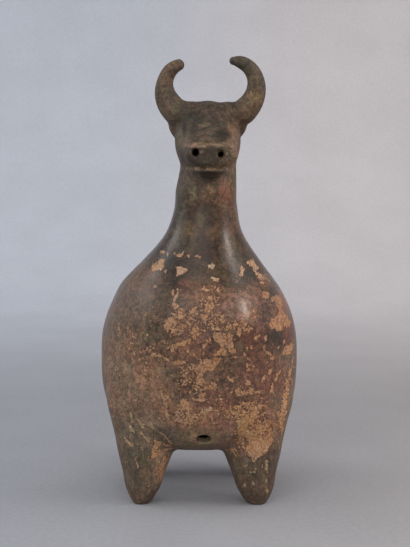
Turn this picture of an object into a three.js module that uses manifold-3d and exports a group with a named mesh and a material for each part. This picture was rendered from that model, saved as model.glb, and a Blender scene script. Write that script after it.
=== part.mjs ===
// Bull-shaped pouring vessel of fired clay, built from hand-made clay pieces luted together.
// Millimetres, +Z up. The bull faces -Y, and +X is the right-hand side of someone who looks at its face.
// The origin is on the ground, under the middle of the vessel.
import * as THREE from "three";
import { mergeVertices } from "three/addons/utils/BufferGeometryUtils.js";
import Module from "manifold-3d";

const wasm = await Module();
wasm.setup();

// Clay and joints
const wall = 5.5; // thickness of the body and neck
const slipLine = 0.3; // line of slip left between two luted pieces

// Body: a bowl below the belly line, shoulders drawn in to the neck above it
const bellyFoot = 34.5; // height of the underside, carried by the legs
const bowlHeight = 64.2; // from the underside up to the belly line
const bellyHalfWidth = 68.2;
const chestReach = 74; // from the body's axis forward to the chest
const rumpReach = 76; // from the body's axis back to the rump
const bowlPower = 3; // exponent of the bowl's curve: 2 would be an ellipse, more is squarer
const footPower = 2.5; // the same for the body's plan at its foot
const planPower = 2; // and at the belly line
const shoulderRise = 112.3; // from the belly line up to the slim neck
const flankStartPower = 2.5; // exponents of the shoulder's curve, where it leaves the belly
const flankEndPower = 3; // and where it runs into the neck
const backStartPower = 3.2;
const backEndPower = 4.2;
const wallSlopeRatio = 0.55; // keeps the sloping shoulders as thick as the upright walls

// Neck: leans a little to one side on its way up
const neckHalfWidth = 19.9;
const neckFront = 48.5; // from the body's axis forward to the throat
const neckBack = -8; // the nape stands forward of the body's axis
const neckTaperRatio = 0.06; // radius lost for each millimetre of height
const neckStretch = 24; // slim neck above the shoulders, up into the skull
const neckLeanRatio = 0.08; // sideways shift for each millimetre of height
const leanStart = 50; // height above the belly line where the lean sets in
const leanEase = 20; // how gently the lean sets in

// Chest: two low bulges side by side, under a faint hollow at the root of the neck
const bulgeHeight = 3;
const bulgeSide = 27; // from the middle plane
const bulgeRise = 29; // above the belly line
const bulgeHalfWidth = 15;
const bulgeHalfHeight = 16;
const hollowDepth = 1.6;
const hollowRise = 51; // above the belly line
const hollowHalfWidth = 30;
const hollowHalfHeight = 7;

// Joints between the body's pieces
const bellyJoint = 3; // above the belly line
const neckJoint = 29; // below the slim neck
const headJoint = 5; // above the start of the slim neck

// Head
const skullRise = 33; // from the slim neck's start up to the skull's centre
const skullForward = 27; // from the body's axis forward to the skull's centre
const skullSide = -0.8; // the skull's middle from the neck's
const skullHalfWidth = 21.3;
const skullHalfDepth = 22;
const skullHalfHeight = 26.9;
const snoutDrop = 10.5; // from the skull's centre down to the snout's end
const snoutReach = 42; // from the skull's centre forward to the snout's end
const snoutRootHalfWidth = 20.4;
const snoutRootHalfHeight = 20;
const snoutEndHalfWidth = 13.8;
const snoutEndHalfHeight = 9;
const snoutRootForward = 3; // root of the snout, forward of the skull's centre
const pollRise = 17; // from the skull's centre up to the middle of the ridge between the horns
const pollHalfWidth = 21;
const pollRadius = 8.7;
const headWall = 5.5;

// Muzzle
const muzzleSeat = 34; // from the skull's centre forward to the face that the muzzle sits on
const muzzleSide = 1; // the muzzle sits a little off the head's middle
const padHalfWidth = 15.6;
const padHalfHeight = 8.1;
const padReach = 51; // from the skull's centre forward to the nose
const padEdge = 5; // rounding of the pad's rim
const jawHalfWidth = 11.5;
const jawHalfHeight = 5.2;
const jawHalfDepth = 13;
const jawDrop = 7.9; // from the pad's middle down to the jaw's middle
const nostrilRadius = 2.35;
const nostrilSpacing = 16;
const nostrilRise = 1.5; // above the pad's middle

// Horns: each a tapered roll bent to a crescent, with its radius given at shares of its length
const hornRootRadius = 6.6;
const hornBaseRadius = 8.1;
const hornBaseShare = 0.28;
const hornMiddleRadius = 6.7;
const hornMiddleShare = 0.5;
const hornSlimRadius = 5;
const hornSlimShare = 0.84;
const hornForwardAngle = 8; // degrees
const hornRootAngle = -98; // degrees round the crescent, from its outermost point

// The crescent's middle is given from the skull's centre
const hornLeft = { out: 13.7, rise: 35.8, bendRadius: 15.5, tipAngle: 68, tipRadius: 3.5 };
const hornRight = { out: 16.3, rise: 37, bendRadius: 15.8, tipAngle: 87, tipRadius: 2.7 };

// Ears
const earOut = 20.3; // from the skull's middle out to the ear's centre
const earRise = 8.6;
const earBack = 4; // behind the skull's centre
const earHalfLength = 7.4;
const earHalfWidth = 6;
const earHalfThickness = 3.6;
const earDroopAngle = 14; // degrees

// Legs
const legStance = 38.6; // from the middle plane out to the foot
const legSplayRatio = 0.085; // how much nearer the middle plane for each millimetre of height
const chestToForeFoot = 37; // from the chest back to the fore foot's middle
const rumpToHindFoot = 38; // from the rump forward to the hind foot's middle
const legRakeRatio = 0.1; // how much nearer the body's axis for each millimetre of height
const footRadius = 4.5; // flat that the vessel rests on
const toeRadius = 8.3;
const toeHeight = 5;
const hoofRadius = 11.2;
const hoofHeight = 11;
const shankRadius = 13.9;
const shankHeight = 22;
const thighRadius = 18;
const thighHeight = 35.5;
const haunchRadius = 25.5;
const haunchInBody = 19; // from the underside up to the haunch's widest level
const haunchDome = 30; // from there up to its top, inside the body

// Outlet in the chest
const outletRadius = 4.4;
const outletRise = 16; // above the underside
const outletSide = 3.3;
const outletAngle = 8; // degrees, down and out

// Filling hole with its collar, behind the neck
const fillerRadius = 12;
const fillerBack = 28;
const collarWall = 5;
const collarRise = 12; // above the back, at the hole's middle
const collarRim = 2.4; // rounding of the lip

// Tail
const tailRadius = 5;
const tailTipRadius = 2.8;
const tailLength = 46;
const tailTop = 24; // above the belly line
const tailSink = 1.6; // how deep its middle line lies in the rump

// Fineness of the surfaces
const sidesRound = 40;
const sidesHead = 24;
const sidesLimb = 18;
const sidesBore = 20;
const bowlRows = 9;
const shoulderRows = 17;
const snoutRows = 6;
const hornRows = 15;
const legRows = 13;
const tailRows = 10;

const clay = {
  slip: new THREE.MeshStandardMaterial({ color: 0x6b5140, roughness: 0.45, metalness: 0 }),
  belly: new THREE.MeshStandardMaterial({ color: 0x7a5c49, roughness: 0.5, metalness: 0 }),
  horn: new THREE.MeshStandardMaterial({ color: 0x5f5247, roughness: 0.5, metalness: 0 }),
  muzzle: new THREE.MeshStandardMaterial({ color: 0x483f33, roughness: 0.45, metalness: 0 }),
  leg: new THREE.MeshStandardMaterial({ color: 0x55473b, roughness: 0.55, metalness: 0 }),
};

const bellyLevel = bellyFoot + bowlHeight;
const neckLevel = bellyLevel + shoulderRise;
const neckTop = neckLevel + neckStretch;
const skullLevel = neckLevel + skullRise;
const radians = THREE.MathUtils.degToRad;

// A closed geometry as a solid. A mapping that mirrors turns the faces round, so they are turned back.
function solid(geometry) {
  const bare = geometry.index ? geometry.toNonIndexed() : geometry.clone();
  bare.deleteAttribute("normal");
  bare.deleteAttribute("uv");
  const merged = mergeVertices(bare, 1e-4);
  const out = [];
  const back = [];
  const index = merged.index.array;
  for (let i = 0; i < index.length; i += 3) {
    const [a, b, c] = index.slice(i, i + 3);
    if (a === b || b === c || c === a) continue;
    out.push(a, b, c);
    back.push(a, c, b);
  }
  const made = [out, back].map(
    (triangles) =>
      new wasm.Manifold(
        new wasm.Mesh({
          numProp: 3,
          vertProperties: merged.attributes.position.array,
          triVerts: new Uint32Array(triangles),
        }),
      ),
  );
  return made[0].volume() > 0 ? made[0] : made[1];
}

// A solid as a geometry for a mesh
function geometryOf(body) {
  const mesh = body.getMesh();
  const geometry = new THREE.BufferGeometry();
  geometry.setAttribute("position", new THREE.BufferAttribute(mesh.vertProperties, 3));
  geometry.setIndex(new THREE.BufferAttribute(mesh.triVerts, 1));
  const flat = geometry.toNonIndexed();
  flat.computeVertexNormals();
  return flat;
}

// A profile of [radius, height] pairs turned round the Z axis. Each vertex is then moved by bend(vertex).
function turned(profile, sides, bend) {
  const points = profile.map(([radius, height]) => new THREE.Vector2(radius, height));
  const geometry = new THREE.LatheGeometry(points, sides);
  geometry.rotateX(Math.PI / 2);
  const position = geometry.attributes.position;
  const v = new THREE.Vector3();
  for (let i = 0; i < position.count && bend; i++) {
    bend(v.fromBufferAttribute(position, i));
    position.setXYZ(i, v.x, v.y, v.z);
  }
  return geometry;
}

function ellipsoid(halfX, halfY, halfZ, centre) {
  const geometry = new THREE.SphereGeometry(1, sidesHead, sidesHead / 2);
  geometry.rotateX(Math.PI / 2);
  geometry.scale(halfX, halfY, halfZ);
  geometry.translate(centre.x, centre.y, centre.z);
  return solid(geometry);
}

// A box between two corners
function block(low, high) {
  const geometry = new THREE.BoxGeometry(high.x - low.x, high.y - low.y, high.z - low.z);
  geometry.translate((high.x + low.x) / 2, (high.y + low.y) / 2, (high.z + low.z) / 2);
  return solid(geometry);
}

// Everything between two heights, or in front of a plane
const far = 1000;

function between(low, high) {
  return block(new THREE.Vector3(-far, -far, low), new THREE.Vector3(far, far, high));
}

function inFrontOf(y) {
  return block(new THREE.Vector3(-far, -far, -far), new THREE.Vector3(far, y, far));
}

// A round bar from a point along a direction
function bar(radius, from, direction, length) {
  const geometry = new THREE.CylinderGeometry(radius, radius, length, sidesBore);
  geometry.translate(0, length / 2, 0);
  const turn = new THREE.Quaternion();
  turn.setFromUnitVectors(new THREE.Vector3(0, 1, 0), direction.clone().normalize());
  geometry.applyQuaternion(turn);
  geometry.translate(from.x, from.y, from.z);
  return solid(geometry);
}

// Outline of the vessel: how far a wall stands from the axis at a height, inset from the outer face
const flankCurve = { start: flankStartPower, end: flankEndPower };
const backCurve = { start: backStartPower, end: backEndPower };

function reachAt(z, belly, neck, curve, inset) {
  if (z <= bellyLevel) {
    const depth = Math.min(1, (bellyLevel - z) / (bowlHeight - inset));
    return (belly - inset) * (1 - depth ** bowlPower) ** (1 / bowlPower);
  }
  const rise = Math.min(1, (z + inset * wallSlopeRatio - bellyLevel) / shoulderRise);
  const slim = neck - inset - neckTaperRatio * Math.max(0, z - neckLevel);
  return slim + (belly - neck) * (1 - rise ** curve.start) ** curve.end;
}

const flankAt = (z, inset = 0) => reachAt(z, bellyHalfWidth, neckHalfWidth, flankCurve, inset);
const chestAt = (z, inset = 0) => reachAt(z, chestReach, neckFront, flankCurve, inset);
const backAt = (z, inset = 0) => reachAt(z, rumpReach, neckBack, backCurve, inset);

function leanAt(z) {
  const above = z - (bellyLevel + leanStart);
  return (neckLeanRatio * (above + Math.hypot(above, leanEase))) / 2;
}

// How far the chest's relief stands out, as seen from the front
function chestRelief(x, z) {
  const rise = z - bellyLevel;
  const side = (Math.abs(x) - bulgeSide) / bulgeHalfWidth;
  const up = (rise - bulgeRise) / bulgeHalfHeight;
  const across = x / hollowHalfWidth;
  const above = (rise - hollowRise) / hollowHalfHeight;
  return bulgeHeight * Math.exp(-side * side - up * up) -
    hollowDepth * Math.exp(-across * across - above * above);
}

// Height at which the back of the vessel stands at a given distance behind the axis
function backHeight(y) {
  const halvings = 14;
  let low = bellyLevel;
  let high = neckTop;
  for (let i = 0; i < halvings; i++) {
    const middle = (low + high) / 2;
    if (backAt(middle) > y) low = middle;
    else high = middle;
  }
  return low;
}

// The vessel from its underside to the top of its neck, as one solid inset from the outer face
function vessel(inset) {
  const profile = [[0, bellyFoot + inset]];
  for (let i = 1; i <= bowlRows; i++) {
    const angle = (i / bowlRows) * (Math.PI / 2);
    const z = bellyLevel - (bowlHeight - inset) * Math.cos(angle) ** (2 / bowlPower);
    profile.push([flankAt(z, inset), z]);
  }
  for (let i = 1; i <= shoulderRows; i++) {
    const z = bellyLevel + (neckTop - bellyLevel) * (i / shoulderRows);
    profile.push([flankAt(z, inset), z]);
  }
  profile.push([0, neckTop]);
  const bottomRatio = (chestReach + rumpReach - 2 * inset) / (2 * (bellyHalfWidth - inset));
  return solid(
    turned(profile, sidesRound, (v) => {
      const flank = flankAt(v.z, inset);
      const chest = chestAt(v.z, inset);
      const back = backAt(v.z, inset);
      const ratio = flank > 0 ? (chest + back) / (2 * flank) : bottomRatio;
      const below = THREE.MathUtils.clamp((bellyLevel - v.z) / bowlHeight, 0, 1);
      const power = THREE.MathUtils.lerp(planPower, footPower, below);
      const round = Math.hypot(v.x, v.y) || 1;
      const across = Math.abs(v.x / round);
      const along = Math.abs(v.y / round);
      const square = (across ** power + along ** power) ** (-1 / power);
      const frontness = Math.max(0, -v.y / round);
      v.x *= square;
      v.y = (back - chest) / 2 + v.y * square * ratio - frontness * chestRelief(v.x, v.z);
      v.x += leanAt(v.z);
    }),
  );
}

const skullCentre = new THREE.Vector3(leanAt(neckTop) + skullSide, -skullForward, skullLevel);

// Tapered snout between the skull and the muzzle, inset from its outer face
function snout(inset) {
  const from = new THREE.Vector3(skullCentre.x, skullCentre.y - snoutRootForward, skullCentre.z);
  const to = new THREE.Vector3(
    skullCentre.x + muzzleSide,
    skullCentre.y - snoutReach,
    skullCentre.z - snoutDrop,
  );
  const profile = [[0, 0]];
  for (let i = 0; i <= snoutRows; i++) profile.push([1, i / snoutRows]);
  profile.push([0, 1]);
  return solid(
    turned(profile, sidesHead, (v) => {
      const halfWidth = THREE.MathUtils.lerp(snoutRootHalfWidth, snoutEndHalfWidth, v.z) - inset;
      const halfHeight = THREE.MathUtils.lerp(snoutRootHalfHeight, snoutEndHalfHeight, v.z) - inset;
      const along = v.z;
      const across = v.x * halfWidth;
      const up = v.y * halfHeight;
      v.lerpVectors(from, to, along);
      v.x += across;
      v.z += up;
    }),
  );
}

// Skull, snout and nape, down to the head joint, without the muzzle's pad
function headCore(inset) {
  const skull = ellipsoid(
    skullHalfWidth - inset,
    skullHalfDepth - inset,
    skullHalfHeight - inset,
    skullCentre,
  );
  const nape = vessel(inset).intersect(between(neckLevel + headJoint, far));
  return skull.add(snout(inset)).add(nape);
}

// The whole head's outer form, with the ridge between the horns
function head(clearance) {
  const straight = 2 * (pollHalfWidth - pollRadius);
  const poll = new THREE.CapsuleGeometry(pollRadius + clearance, straight, sidesHead / 4, sidesHead);
  poll.rotateZ(Math.PI / 2);
  poll.translate(skullCentre.x, skullCentre.y, skullCentre.z + pollRise);
  return headCore(-clearance).add(solid(poll));
}

const outerVessel = vessel(0);
const cavity = vessel(wall).add(headCore(headWall));
const jointClearance = slipLine / 2;

// Outlet through the chest, low between the fore legs
const outletLevel = bellyFoot + outletRise;
const outletOut = new THREE.Vector3(0, -Math.cos(radians(outletAngle)), -Math.sin(radians(outletAngle)));
const outletMouth = new THREE.Vector3(outletSide, -chestAt(outletLevel), outletLevel);
const outletReach = 4 * wall; // far enough to pass right through, inwards and outwards
const outletBore = bar(
  outletRadius,
  outletMouth.clone().addScaledVector(outletOut, -outletReach),
  outletOut,
  2 * outletReach,
);

// Filling hole, straight down through the back
const fillerLevel = backHeight(fillerBack);
const lipLevel = fillerLevel + collarRise;
const fillerSide = leanAt(fillerLevel);
const fillerBore = bar(
  fillerRadius,
  new THREE.Vector3(fillerSide, fillerBack, bellyLevel),
  new THREE.Vector3(0, 0, 1),
  lipLevel - bellyLevel + collarRise,
);

const hollow = outerVessel.subtract(cavity).subtract(outletBore).subtract(fillerBore);
const bellyTop = bellyLevel + bellyJoint;
const shoulderTop = neckLevel - neckJoint;
const neckPieceTop = neckLevel + headJoint;
const bellyShell = hollow.intersect(between(0, bellyTop - jointClearance));
const shoulderShell = hollow.intersect(
  between(bellyTop + jointClearance, shoulderTop - jointClearance),
);
const neckTube = hollow.intersect(
  between(shoulderTop + jointClearance, neckPieceTop - jointClearance),
);

// Filler collar: a ring with a rounded lip, cut to the slope of the back
function fillerCollar() {
  const outer = fillerRadius + collarWall;
  const profile = [[fillerRadius, bellyLevel], [outer, bellyLevel]];
  const lipSteps = 4;
  for (let i = 0; i <= lipSteps; i++) {
    const angle = (i / lipSteps) * (Math.PI / 2);
    profile.push([
      outer - collarRim * (1 - Math.cos(angle)),
      lipLevel - collarRim * (1 - Math.sin(angle)),
    ]);
  }
  for (let i = lipSteps; i >= 0; i--) {
    const angle = (i / lipSteps) * (Math.PI / 2);
    profile.push([
      fillerRadius + collarRim * (1 - Math.cos(angle)),
      lipLevel - collarRim * (1 - Math.sin(angle)),
    ]);
  }
  profile.push([fillerRadius, bellyLevel]);
  const ring = turned(profile, sidesHead);
  ring.translate(fillerSide, fillerBack, 0);
  return solid(ring).subtract(vessel(-slipLine));
}

// Muzzle: an oval pad with a rounded rim over the lower jaw, pierced by two nostrils
const seatY = skullCentre.y - muzzleSeat;
const padCentre = new THREE.Vector3(
  skullCentre.x + muzzleSide,
  skullCentre.y - padReach,
  skullCentre.z - snoutDrop,
);

function pad() {
  const depth = seatY - padCentre.y;
  const rimSteps = 5;
  const profile = [[0, 0], [1, 0]];
  const edge = padEdge / padHalfHeight;
  for (let i = 0; i <= rimSteps; i++) {
    const angle = (i / rimSteps) * (Math.PI / 2);
    profile.push([
      1 - edge * (1 - Math.cos(angle)),
      depth - padEdge * (1 - Math.sin(angle)),
    ]);
  }
  profile.push([0, depth]);
  return solid(
    turned(profile, sidesHead, (v) => {
      const along = v.z;
      v.set(
        padCentre.x + v.x * padHalfWidth,
        seatY - along,
        padCentre.z - v.y * padHalfHeight,
      );
    }),
  );
}

function nostrils() {
  const sides = [-1, 1].map((side) => {
    const mouth = new THREE.Vector3(
      padCentre.x + (side * nostrilSpacing) / 2,
      padCentre.y - padEdge,
      padCentre.z + nostrilRise,
    );
    return bar(nostrilRadius, mouth, new THREE.Vector3(0, 1, 0), padReach + padEdge);
  });
  return sides[0].add(sides[1]);
}

const jawCentre = new THREE.Vector3(padCentre.x, padCentre.y + jawHalfDepth, padCentre.z - jawDrop);
const nostrilBores = nostrils();
const muzzle = pad()
  .add(ellipsoid(jawHalfWidth, jawHalfDepth, jawHalfHeight, jawCentre))
  .intersect(inFrontOf(seatY - jointClearance))
  .subtract(nostrilBores);

const headShell = head(0)
  .intersect(between(neckPieceTop + jointClearance, far))
  .subtract(inFrontOf(seatY + jointClearance))
  .subtract(cavity)
  .subtract(nostrilBores);

// A horn: a tapered roll with a blunt point, bent along an arc that leans forward.
// It can be made larger all round, to cut what lies against it clear.
function horn(shape, side, clearance = 0) {
  const centre = new THREE.Vector3(
    skullCentre.x + side * shape.out,
    skullCentre.y,
    skullCentre.z + shape.rise,
  );
  const start = radians(hornRootAngle);
  const length = shape.bendRadius * (radians(shape.tipAngle) - start);
  const taper = new THREE.SplineCurve([
    new THREE.Vector2(hornRootRadius, 0),
    new THREE.Vector2(hornBaseRadius, length * hornBaseShare),
    new THREE.Vector2(hornMiddleRadius, length * hornMiddleShare),
    new THREE.Vector2(hornSlimRadius, length * hornSlimShare),
    new THREE.Vector2(shape.tipRadius, length),
  ]);
  const profile = [[0, 0]];
  for (const p of taper.getPoints(hornRows)) profile.push([p.x + clearance, p.y]);
  const capSteps = 4;
  const capRadius = shape.tipRadius + clearance;
  for (let i = 1; i < capSteps; i++) {
    const angle = (i / capSteps) * (Math.PI / 2);
    profile.push([capRadius * Math.cos(angle), length + capRadius * Math.sin(angle)]);
  }
  profile.push([0, length + capRadius]);
  const tilt = new THREE.Quaternion();
  tilt.setFromAxisAngle(new THREE.Vector3(1, 0, 0), radians(hornForwardAngle));
  const bent = turned(profile, sidesLimb, (v) => {
    const angle = start + v.z / shape.bendRadius;
    const radius = shape.bendRadius + v.x;
    const up = shape.bendRadius + radius * Math.sin(angle);
    v.set(side * radius * Math.cos(angle), v.y, up).applyQuaternion(tilt);
    v.z -= shape.bendRadius;
    v.add(centre);
  });
  return solid(bent);
}

const headClear = head(slipLine);
const hornsClear = horn(hornLeft, -1, slipLine).add(horn(hornRight, 1, slipLine));

// An ear: a small flap under the horn
function ear(side) {
  const flap = new THREE.SphereGeometry(1, sidesLimb, sidesLimb / 2);
  flap.scale(earHalfWidth, earHalfThickness, earHalfLength);
  flap.rotateY(radians(-side * earDroopAngle));
  flap.translate(
    skullCentre.x + side * earOut,
    skullCentre.y + earBack,
    skullCentre.z + earRise,
  );
  return solid(flap).subtract(headClear).subtract(hornsClear);
}

// A leg: a blunt cone that widens to a haunch, with the haunch's dome inside the body
const foreFoot = chestToForeFoot - chestReach;
const hindFoot = rumpReach - rumpToHindFoot;

function leg(side, y) {
  const haunchLevel = bellyFoot + haunchInBody;
  const outline = new THREE.SplineCurve([
    new THREE.Vector2(footRadius, 0),
    new THREE.Vector2(toeRadius, toeHeight),
    new THREE.Vector2(hoofRadius, hoofHeight),
    new THREE.Vector2(shankRadius, shankHeight),
    new THREE.Vector2(thighRadius, thighHeight),
    new THREE.Vector2(haunchRadius, haunchLevel),
  ]);
  const profile = [[0, 0]];
  for (const p of outline.getPoints(legRows)) profile.push([p.x, p.y]);
  const domeSteps = 5;
  for (let i = 1; i < domeSteps; i++) {
    const angle = (i / domeSteps) * (Math.PI / 2);
    profile.push([haunchRadius * Math.cos(angle), haunchLevel + haunchDome * Math.sin(angle)]);
  }
  profile.push([0, haunchLevel + haunchDome]);
  const shape = turned(profile, sidesLimb, (v) => {
    v.x += side * (legStance - legSplayRatio * v.z);
    v.y += y - Math.sign(y) * legRakeRatio * v.z;
  });
  return solid(shape).subtract(vessel(-slipLine));
}

// Tail: a tapered roll laid down the rump, half sunk in it
function tail() {
  const top = bellyLevel + tailTop;
  const profile = [[0, top + tailRadius]];
  const capSteps = 3;
  for (let i = 1; i <= capSteps; i++) {
    const angle = (i / capSteps) * (Math.PI / 2);
    profile.push([tailRadius * Math.sin(angle), top + tailRadius * Math.cos(angle)]);
  }
  for (let i = 1; i <= tailRows; i++) {
    const part = i / tailRows;
    profile.push([THREE.MathUtils.lerp(tailRadius, tailTipRadius, part), top - tailLength * part]);
  }
  profile.push([0, top - tailLength - tailTipRadius]);
  profile.reverse();
  const shape = turned(profile, sidesLimb, (v) => {
    v.y += backAt(v.z) - tailSink;
    v.x += leanAt(v.z);
  });
  return solid(shape).subtract(vessel(-slipLine));
}

const group = new THREE.Group();

function place(name, body, material) {
  const mesh = new THREE.Mesh(geometryOf(body), material);
  mesh.name = name;
  group.add(mesh);
}

place("belly_shell", bellyShell, clay.belly);
place("shoulder_shell", shoulderShell, clay.belly);
place("neck_tube", neckTube, clay.slip);
place("head_shell", headShell, clay.slip);
place("muzzle", muzzle, clay.muzzle);
place("horn_left", horn(hornLeft, -1).subtract(headClear), clay.horn);
place("horn_right", horn(hornRight, 1).subtract(headClear), clay.horn);
place("ear_left", ear(-1), clay.slip);
place("ear_right", ear(1), clay.slip);
place("foreleg_left", leg(-1, foreFoot), clay.leg);
place("foreleg_right", leg(1, foreFoot), clay.leg);
place("hindleg_left", leg(-1, hindFoot), clay.leg);
place("hindleg_right", leg(1, hindFoot), clay.leg);
place("filler_collar", fillerCollar(), clay.slip);
place("tail", tail(), clay.slip);

export default group;
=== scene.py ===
"""A bull-shaped pouring vessel of burnished, flaking clay slip, dressed for a studio view.

The clay is one smooth field: the pieces that the potter joined melt into each other, as fired clay does. Its
skin is meshed once, and then cut into one closed piece for each piece of the CAD frame. Sizes are
millimetres in the CAD frame, and become metres where a mesh or the camera is made. The studio is in metres.
"""

import math
from concurrent.futures import ThreadPoolExecutor

import bmesh
import bpy
import numpy as np
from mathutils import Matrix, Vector


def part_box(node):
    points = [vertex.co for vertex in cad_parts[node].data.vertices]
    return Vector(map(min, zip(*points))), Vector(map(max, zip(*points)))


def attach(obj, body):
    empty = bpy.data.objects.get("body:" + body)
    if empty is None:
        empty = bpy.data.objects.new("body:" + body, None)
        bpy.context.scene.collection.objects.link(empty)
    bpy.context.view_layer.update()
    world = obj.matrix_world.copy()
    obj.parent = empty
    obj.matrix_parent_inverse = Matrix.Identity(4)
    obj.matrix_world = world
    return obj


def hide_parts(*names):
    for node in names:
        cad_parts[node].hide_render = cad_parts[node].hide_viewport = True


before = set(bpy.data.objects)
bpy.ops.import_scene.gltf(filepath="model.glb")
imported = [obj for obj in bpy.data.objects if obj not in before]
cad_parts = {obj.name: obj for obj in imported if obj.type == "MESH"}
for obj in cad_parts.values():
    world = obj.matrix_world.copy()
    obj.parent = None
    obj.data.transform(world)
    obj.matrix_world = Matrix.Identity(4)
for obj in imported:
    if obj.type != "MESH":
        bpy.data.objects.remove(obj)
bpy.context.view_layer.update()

MM = 0.001
SEED = 11
NOISE_CELLS = 32  # after which the noise repeats
CORNERS = np.indices((2, 2, 2)).reshape(3, -1).T  # of a unit cell


def box_of(node):
    """Lowest and highest corner of a CAD node, in millimetres."""
    low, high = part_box(node)
    return np.array(low) / MM, np.array(high) / MM


# Sizes that the frame gives
belly_low, belly_high = box_of("belly_shell")
shoulder_low, shoulder_high = box_of("shoulder_shell")
neck_low, neck_high = box_of("neck_tube")
head_low, _ = box_of("head_shell")
_, muzzle_high = box_of("muzzle")
collar_low, collar_high = box_of("filler_collar")
UNDERSIDE = belly_low[2]
SAG = 1.2  # how far the middle of the underside hangs below the CAD's
FOOT = UNDERSIDE - SAG
CHEST = -belly_low[1]
RUMP = belly_high[1]
BELLY_CUT = (belly_high[2] + shoulder_low[2]) / 2
NECK_CUT = (shoulder_high[2] + neck_low[2]) / 2
HEAD_CUT = (neck_high[2] + head_low[2]) / 2
MUZZLE_CUT = (head_low[1] + muzzle_high[1]) / 2
FILLER = (collar_low + collar_high) / 2
LIP = collar_high[2]

# Body: a bowl under the belly line, and shoulders drawn in to the neck over it
BELLY_LEVEL = UNDERSIDE + 64.2
FLANK = 68.2
BOWL_POWER = 3
PLAN_POWER = (2, 2.5)  # at the belly line, and at the foot: 2 is an ellipse
SHOULDER_RISE = 112.3
FLANK_CURVE = (2.5, 3)
BACK_CURVE = (3.2, 4.2)
NECK_LEVEL = BELLY_LEVEL + SHOULDER_RISE
NECK_HALF = 19.9
THROAT = 48.5
NAPE = -8
NECK_TAPER = 0.09
NECK_TOP = NECK_LEVEL + 21
NECK_LEAN = 0.08
LEAN_START = BELLY_LEVEL + 50
LEAN_EASE = 20
WALL = 5.5

# Head, with places from the skull's middle
SKULL = np.array([6.2, -27, NECK_LEVEL + 33])
SKULL_HALF = (21.3, 22, 26.9)
SNOUT_ROOT = (20.0, 20, -3)  # half width, half height, place
SNOUT_END = (13.8, 11, -42)
SNOUT_DROP = 10.5
SNOUT_SIDE = 1.4
SNOUT_PAST = (-0.4, 1.3)  # how far its taper goes on past both ends
POLL_RISE = 16.6
POLL_HALF = 12.3
POLL_RADIUS = 8.7

# Muzzle
PAD = SKULL + (2.2, -42, -10.3)
PAD_HALF = (16.8, 9, 7.5)
PAD_EDGE = 3.6
JAW = SKULL + (2.2, -37, -19.4)
JAW_HALF = (10.4, 11.4, 3.6)
CHIN = SKULL + (1.6, -25, -17)
CHIN_HALF = (9.5, 14, 7)
NOSTRILS = ((-7.9, -8.2, 2.4), (8.1, -9.4, 2.15))  # side and height from the skull's middle, radius
NOSTRIL_TAPER = 0.8  # how much narrower they are inside
NOSTRIL_MOUTH = (1, 7)  # how far behind the pad's front they narrow

# Dimples of the face: place from the front, half width, half height, depth
DIMPLES = (
    (15.2, 247.3, 3.4, 2.0, 1.0),
    (-9.5, 252.5, 1.4, 2.6, 0.8),
    (3, 256, 6, 1.6, 0.5),
    (-2, 250, 2.0, 4.0, -0.4),
)
FACE = 12  # how far in front of the skull's middle they have their full depth

# Horns: arcs that lean forward, from the root's angle to the tip's
HORN_TILT = math.radians(8)
HORN_SEAM = -140  # angle, away from the horn, where the count of angles starts
HORNS = {
    "horn_left": dict(
        side=-1,
        middle=(-13.7, 0, 35.8),
        angles=(-98, -80, -65, -50, -14, 14, 47, 68),
        bends=(18.2, 18.2, 17.8, 16.8, 15.4, 15.1, 15.4, 15.5),
        radii=(7.6, 8.6, 9.0, 8.5, 6.8, 5.5, 4.7, 3.8),
    ),
    "horn_right": dict(
        side=1,
        middle=(16.3, 0, 37),
        angles=(-98, -80, -65, -50, -9, 21, 52, 77, 88),
        bends=(19.2, 19.2, 18.7, 17.6, 15.9, 15.6, 15.8, 15.8, 15.8),
        radii=(7.4, 8.4, 8.9, 8.3, 6.6, 5.6, 5.0, 4.1, 3.1),
    ),
}

# Ears: leaves that droop back under the horns, folded in front
EAR = dict(out=20.6, back=3.4, rise=8.4, half=(4.7, 3.2, 7.6), droop=math.radians(29))
EAR_FOLD = dict(out=1.8, back=-3.6, rise=0.3, half=(1.3, 1.2, 4.2))
EAR_CUT = SKULL[2] + 14.4

# Legs
STANCE = {-1: 38.9, 1: 39.2}  # left and right
LEG_EXTRA = {-1: 0.1, 1: 0.8}  # added to the radii below
SPLAY = 0.085
RAKE = 0.1
FORE_FOOT = 37 - CHEST
HIND_FOOT = RUMP - 38
LEG_HEIGHTS = (-1, 4, 10, 21, 34.5, 47, 57, 68, 80)
LEG_RADII = (4.4, 8.0, 11.1, 14.2, 18.5, 21.9, 24.4, 26.6, 24)
LEG_TOP = 88
LEG_FILLET = (4, 8)  # between the legs, and outside them
LEG_FILLET_AT = (28, 52)  # how far from the middle it is so
LEG_STEEPNESS = 0.93  # makes a tapered leg's field nearly a distance

# Outlet in the chest, filling hole and tail
OUTLET = np.array([3.3, -57, UNDERSIDE + 15.6])
OUTLET_RADIUS = 4.6
OUTLET_SLOPE = math.radians(27)
OUTLET_DEPTH = 4 * WALL
FILLER_RADIUS = 12
COLLAR_WALL = 5
COLLAR_EDGE = 2.3
COLLAR_FLARE = 1.8
FLARE_HEIGHT = 12
TAIL_TOP = BELLY_LEVEL + 24
TAIL_LENGTH = 46
TAIL_RADII = (5, 2.8)
TAIL_SINK = 1.6

# How wide the fillets of the joins are, and how round the edges of what is cut away
FILLETS = dict(
    snout_end=4, snout=5, poll=2, neck=2, chin=3, jaw=0.8, muzzle=2.5, horn=4, ear=2.8, tail=3, collar=6
)
EDGES = dict(fold=1.2, nostril=1.6, outlet=1.6, filler=1.5, sole=1.5)

# A hand-made surface: size of the unevenness, how high it stands, seed
UNEVENNESS = ((24, 0.35, 1), (8, 0.13, 2))

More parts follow.
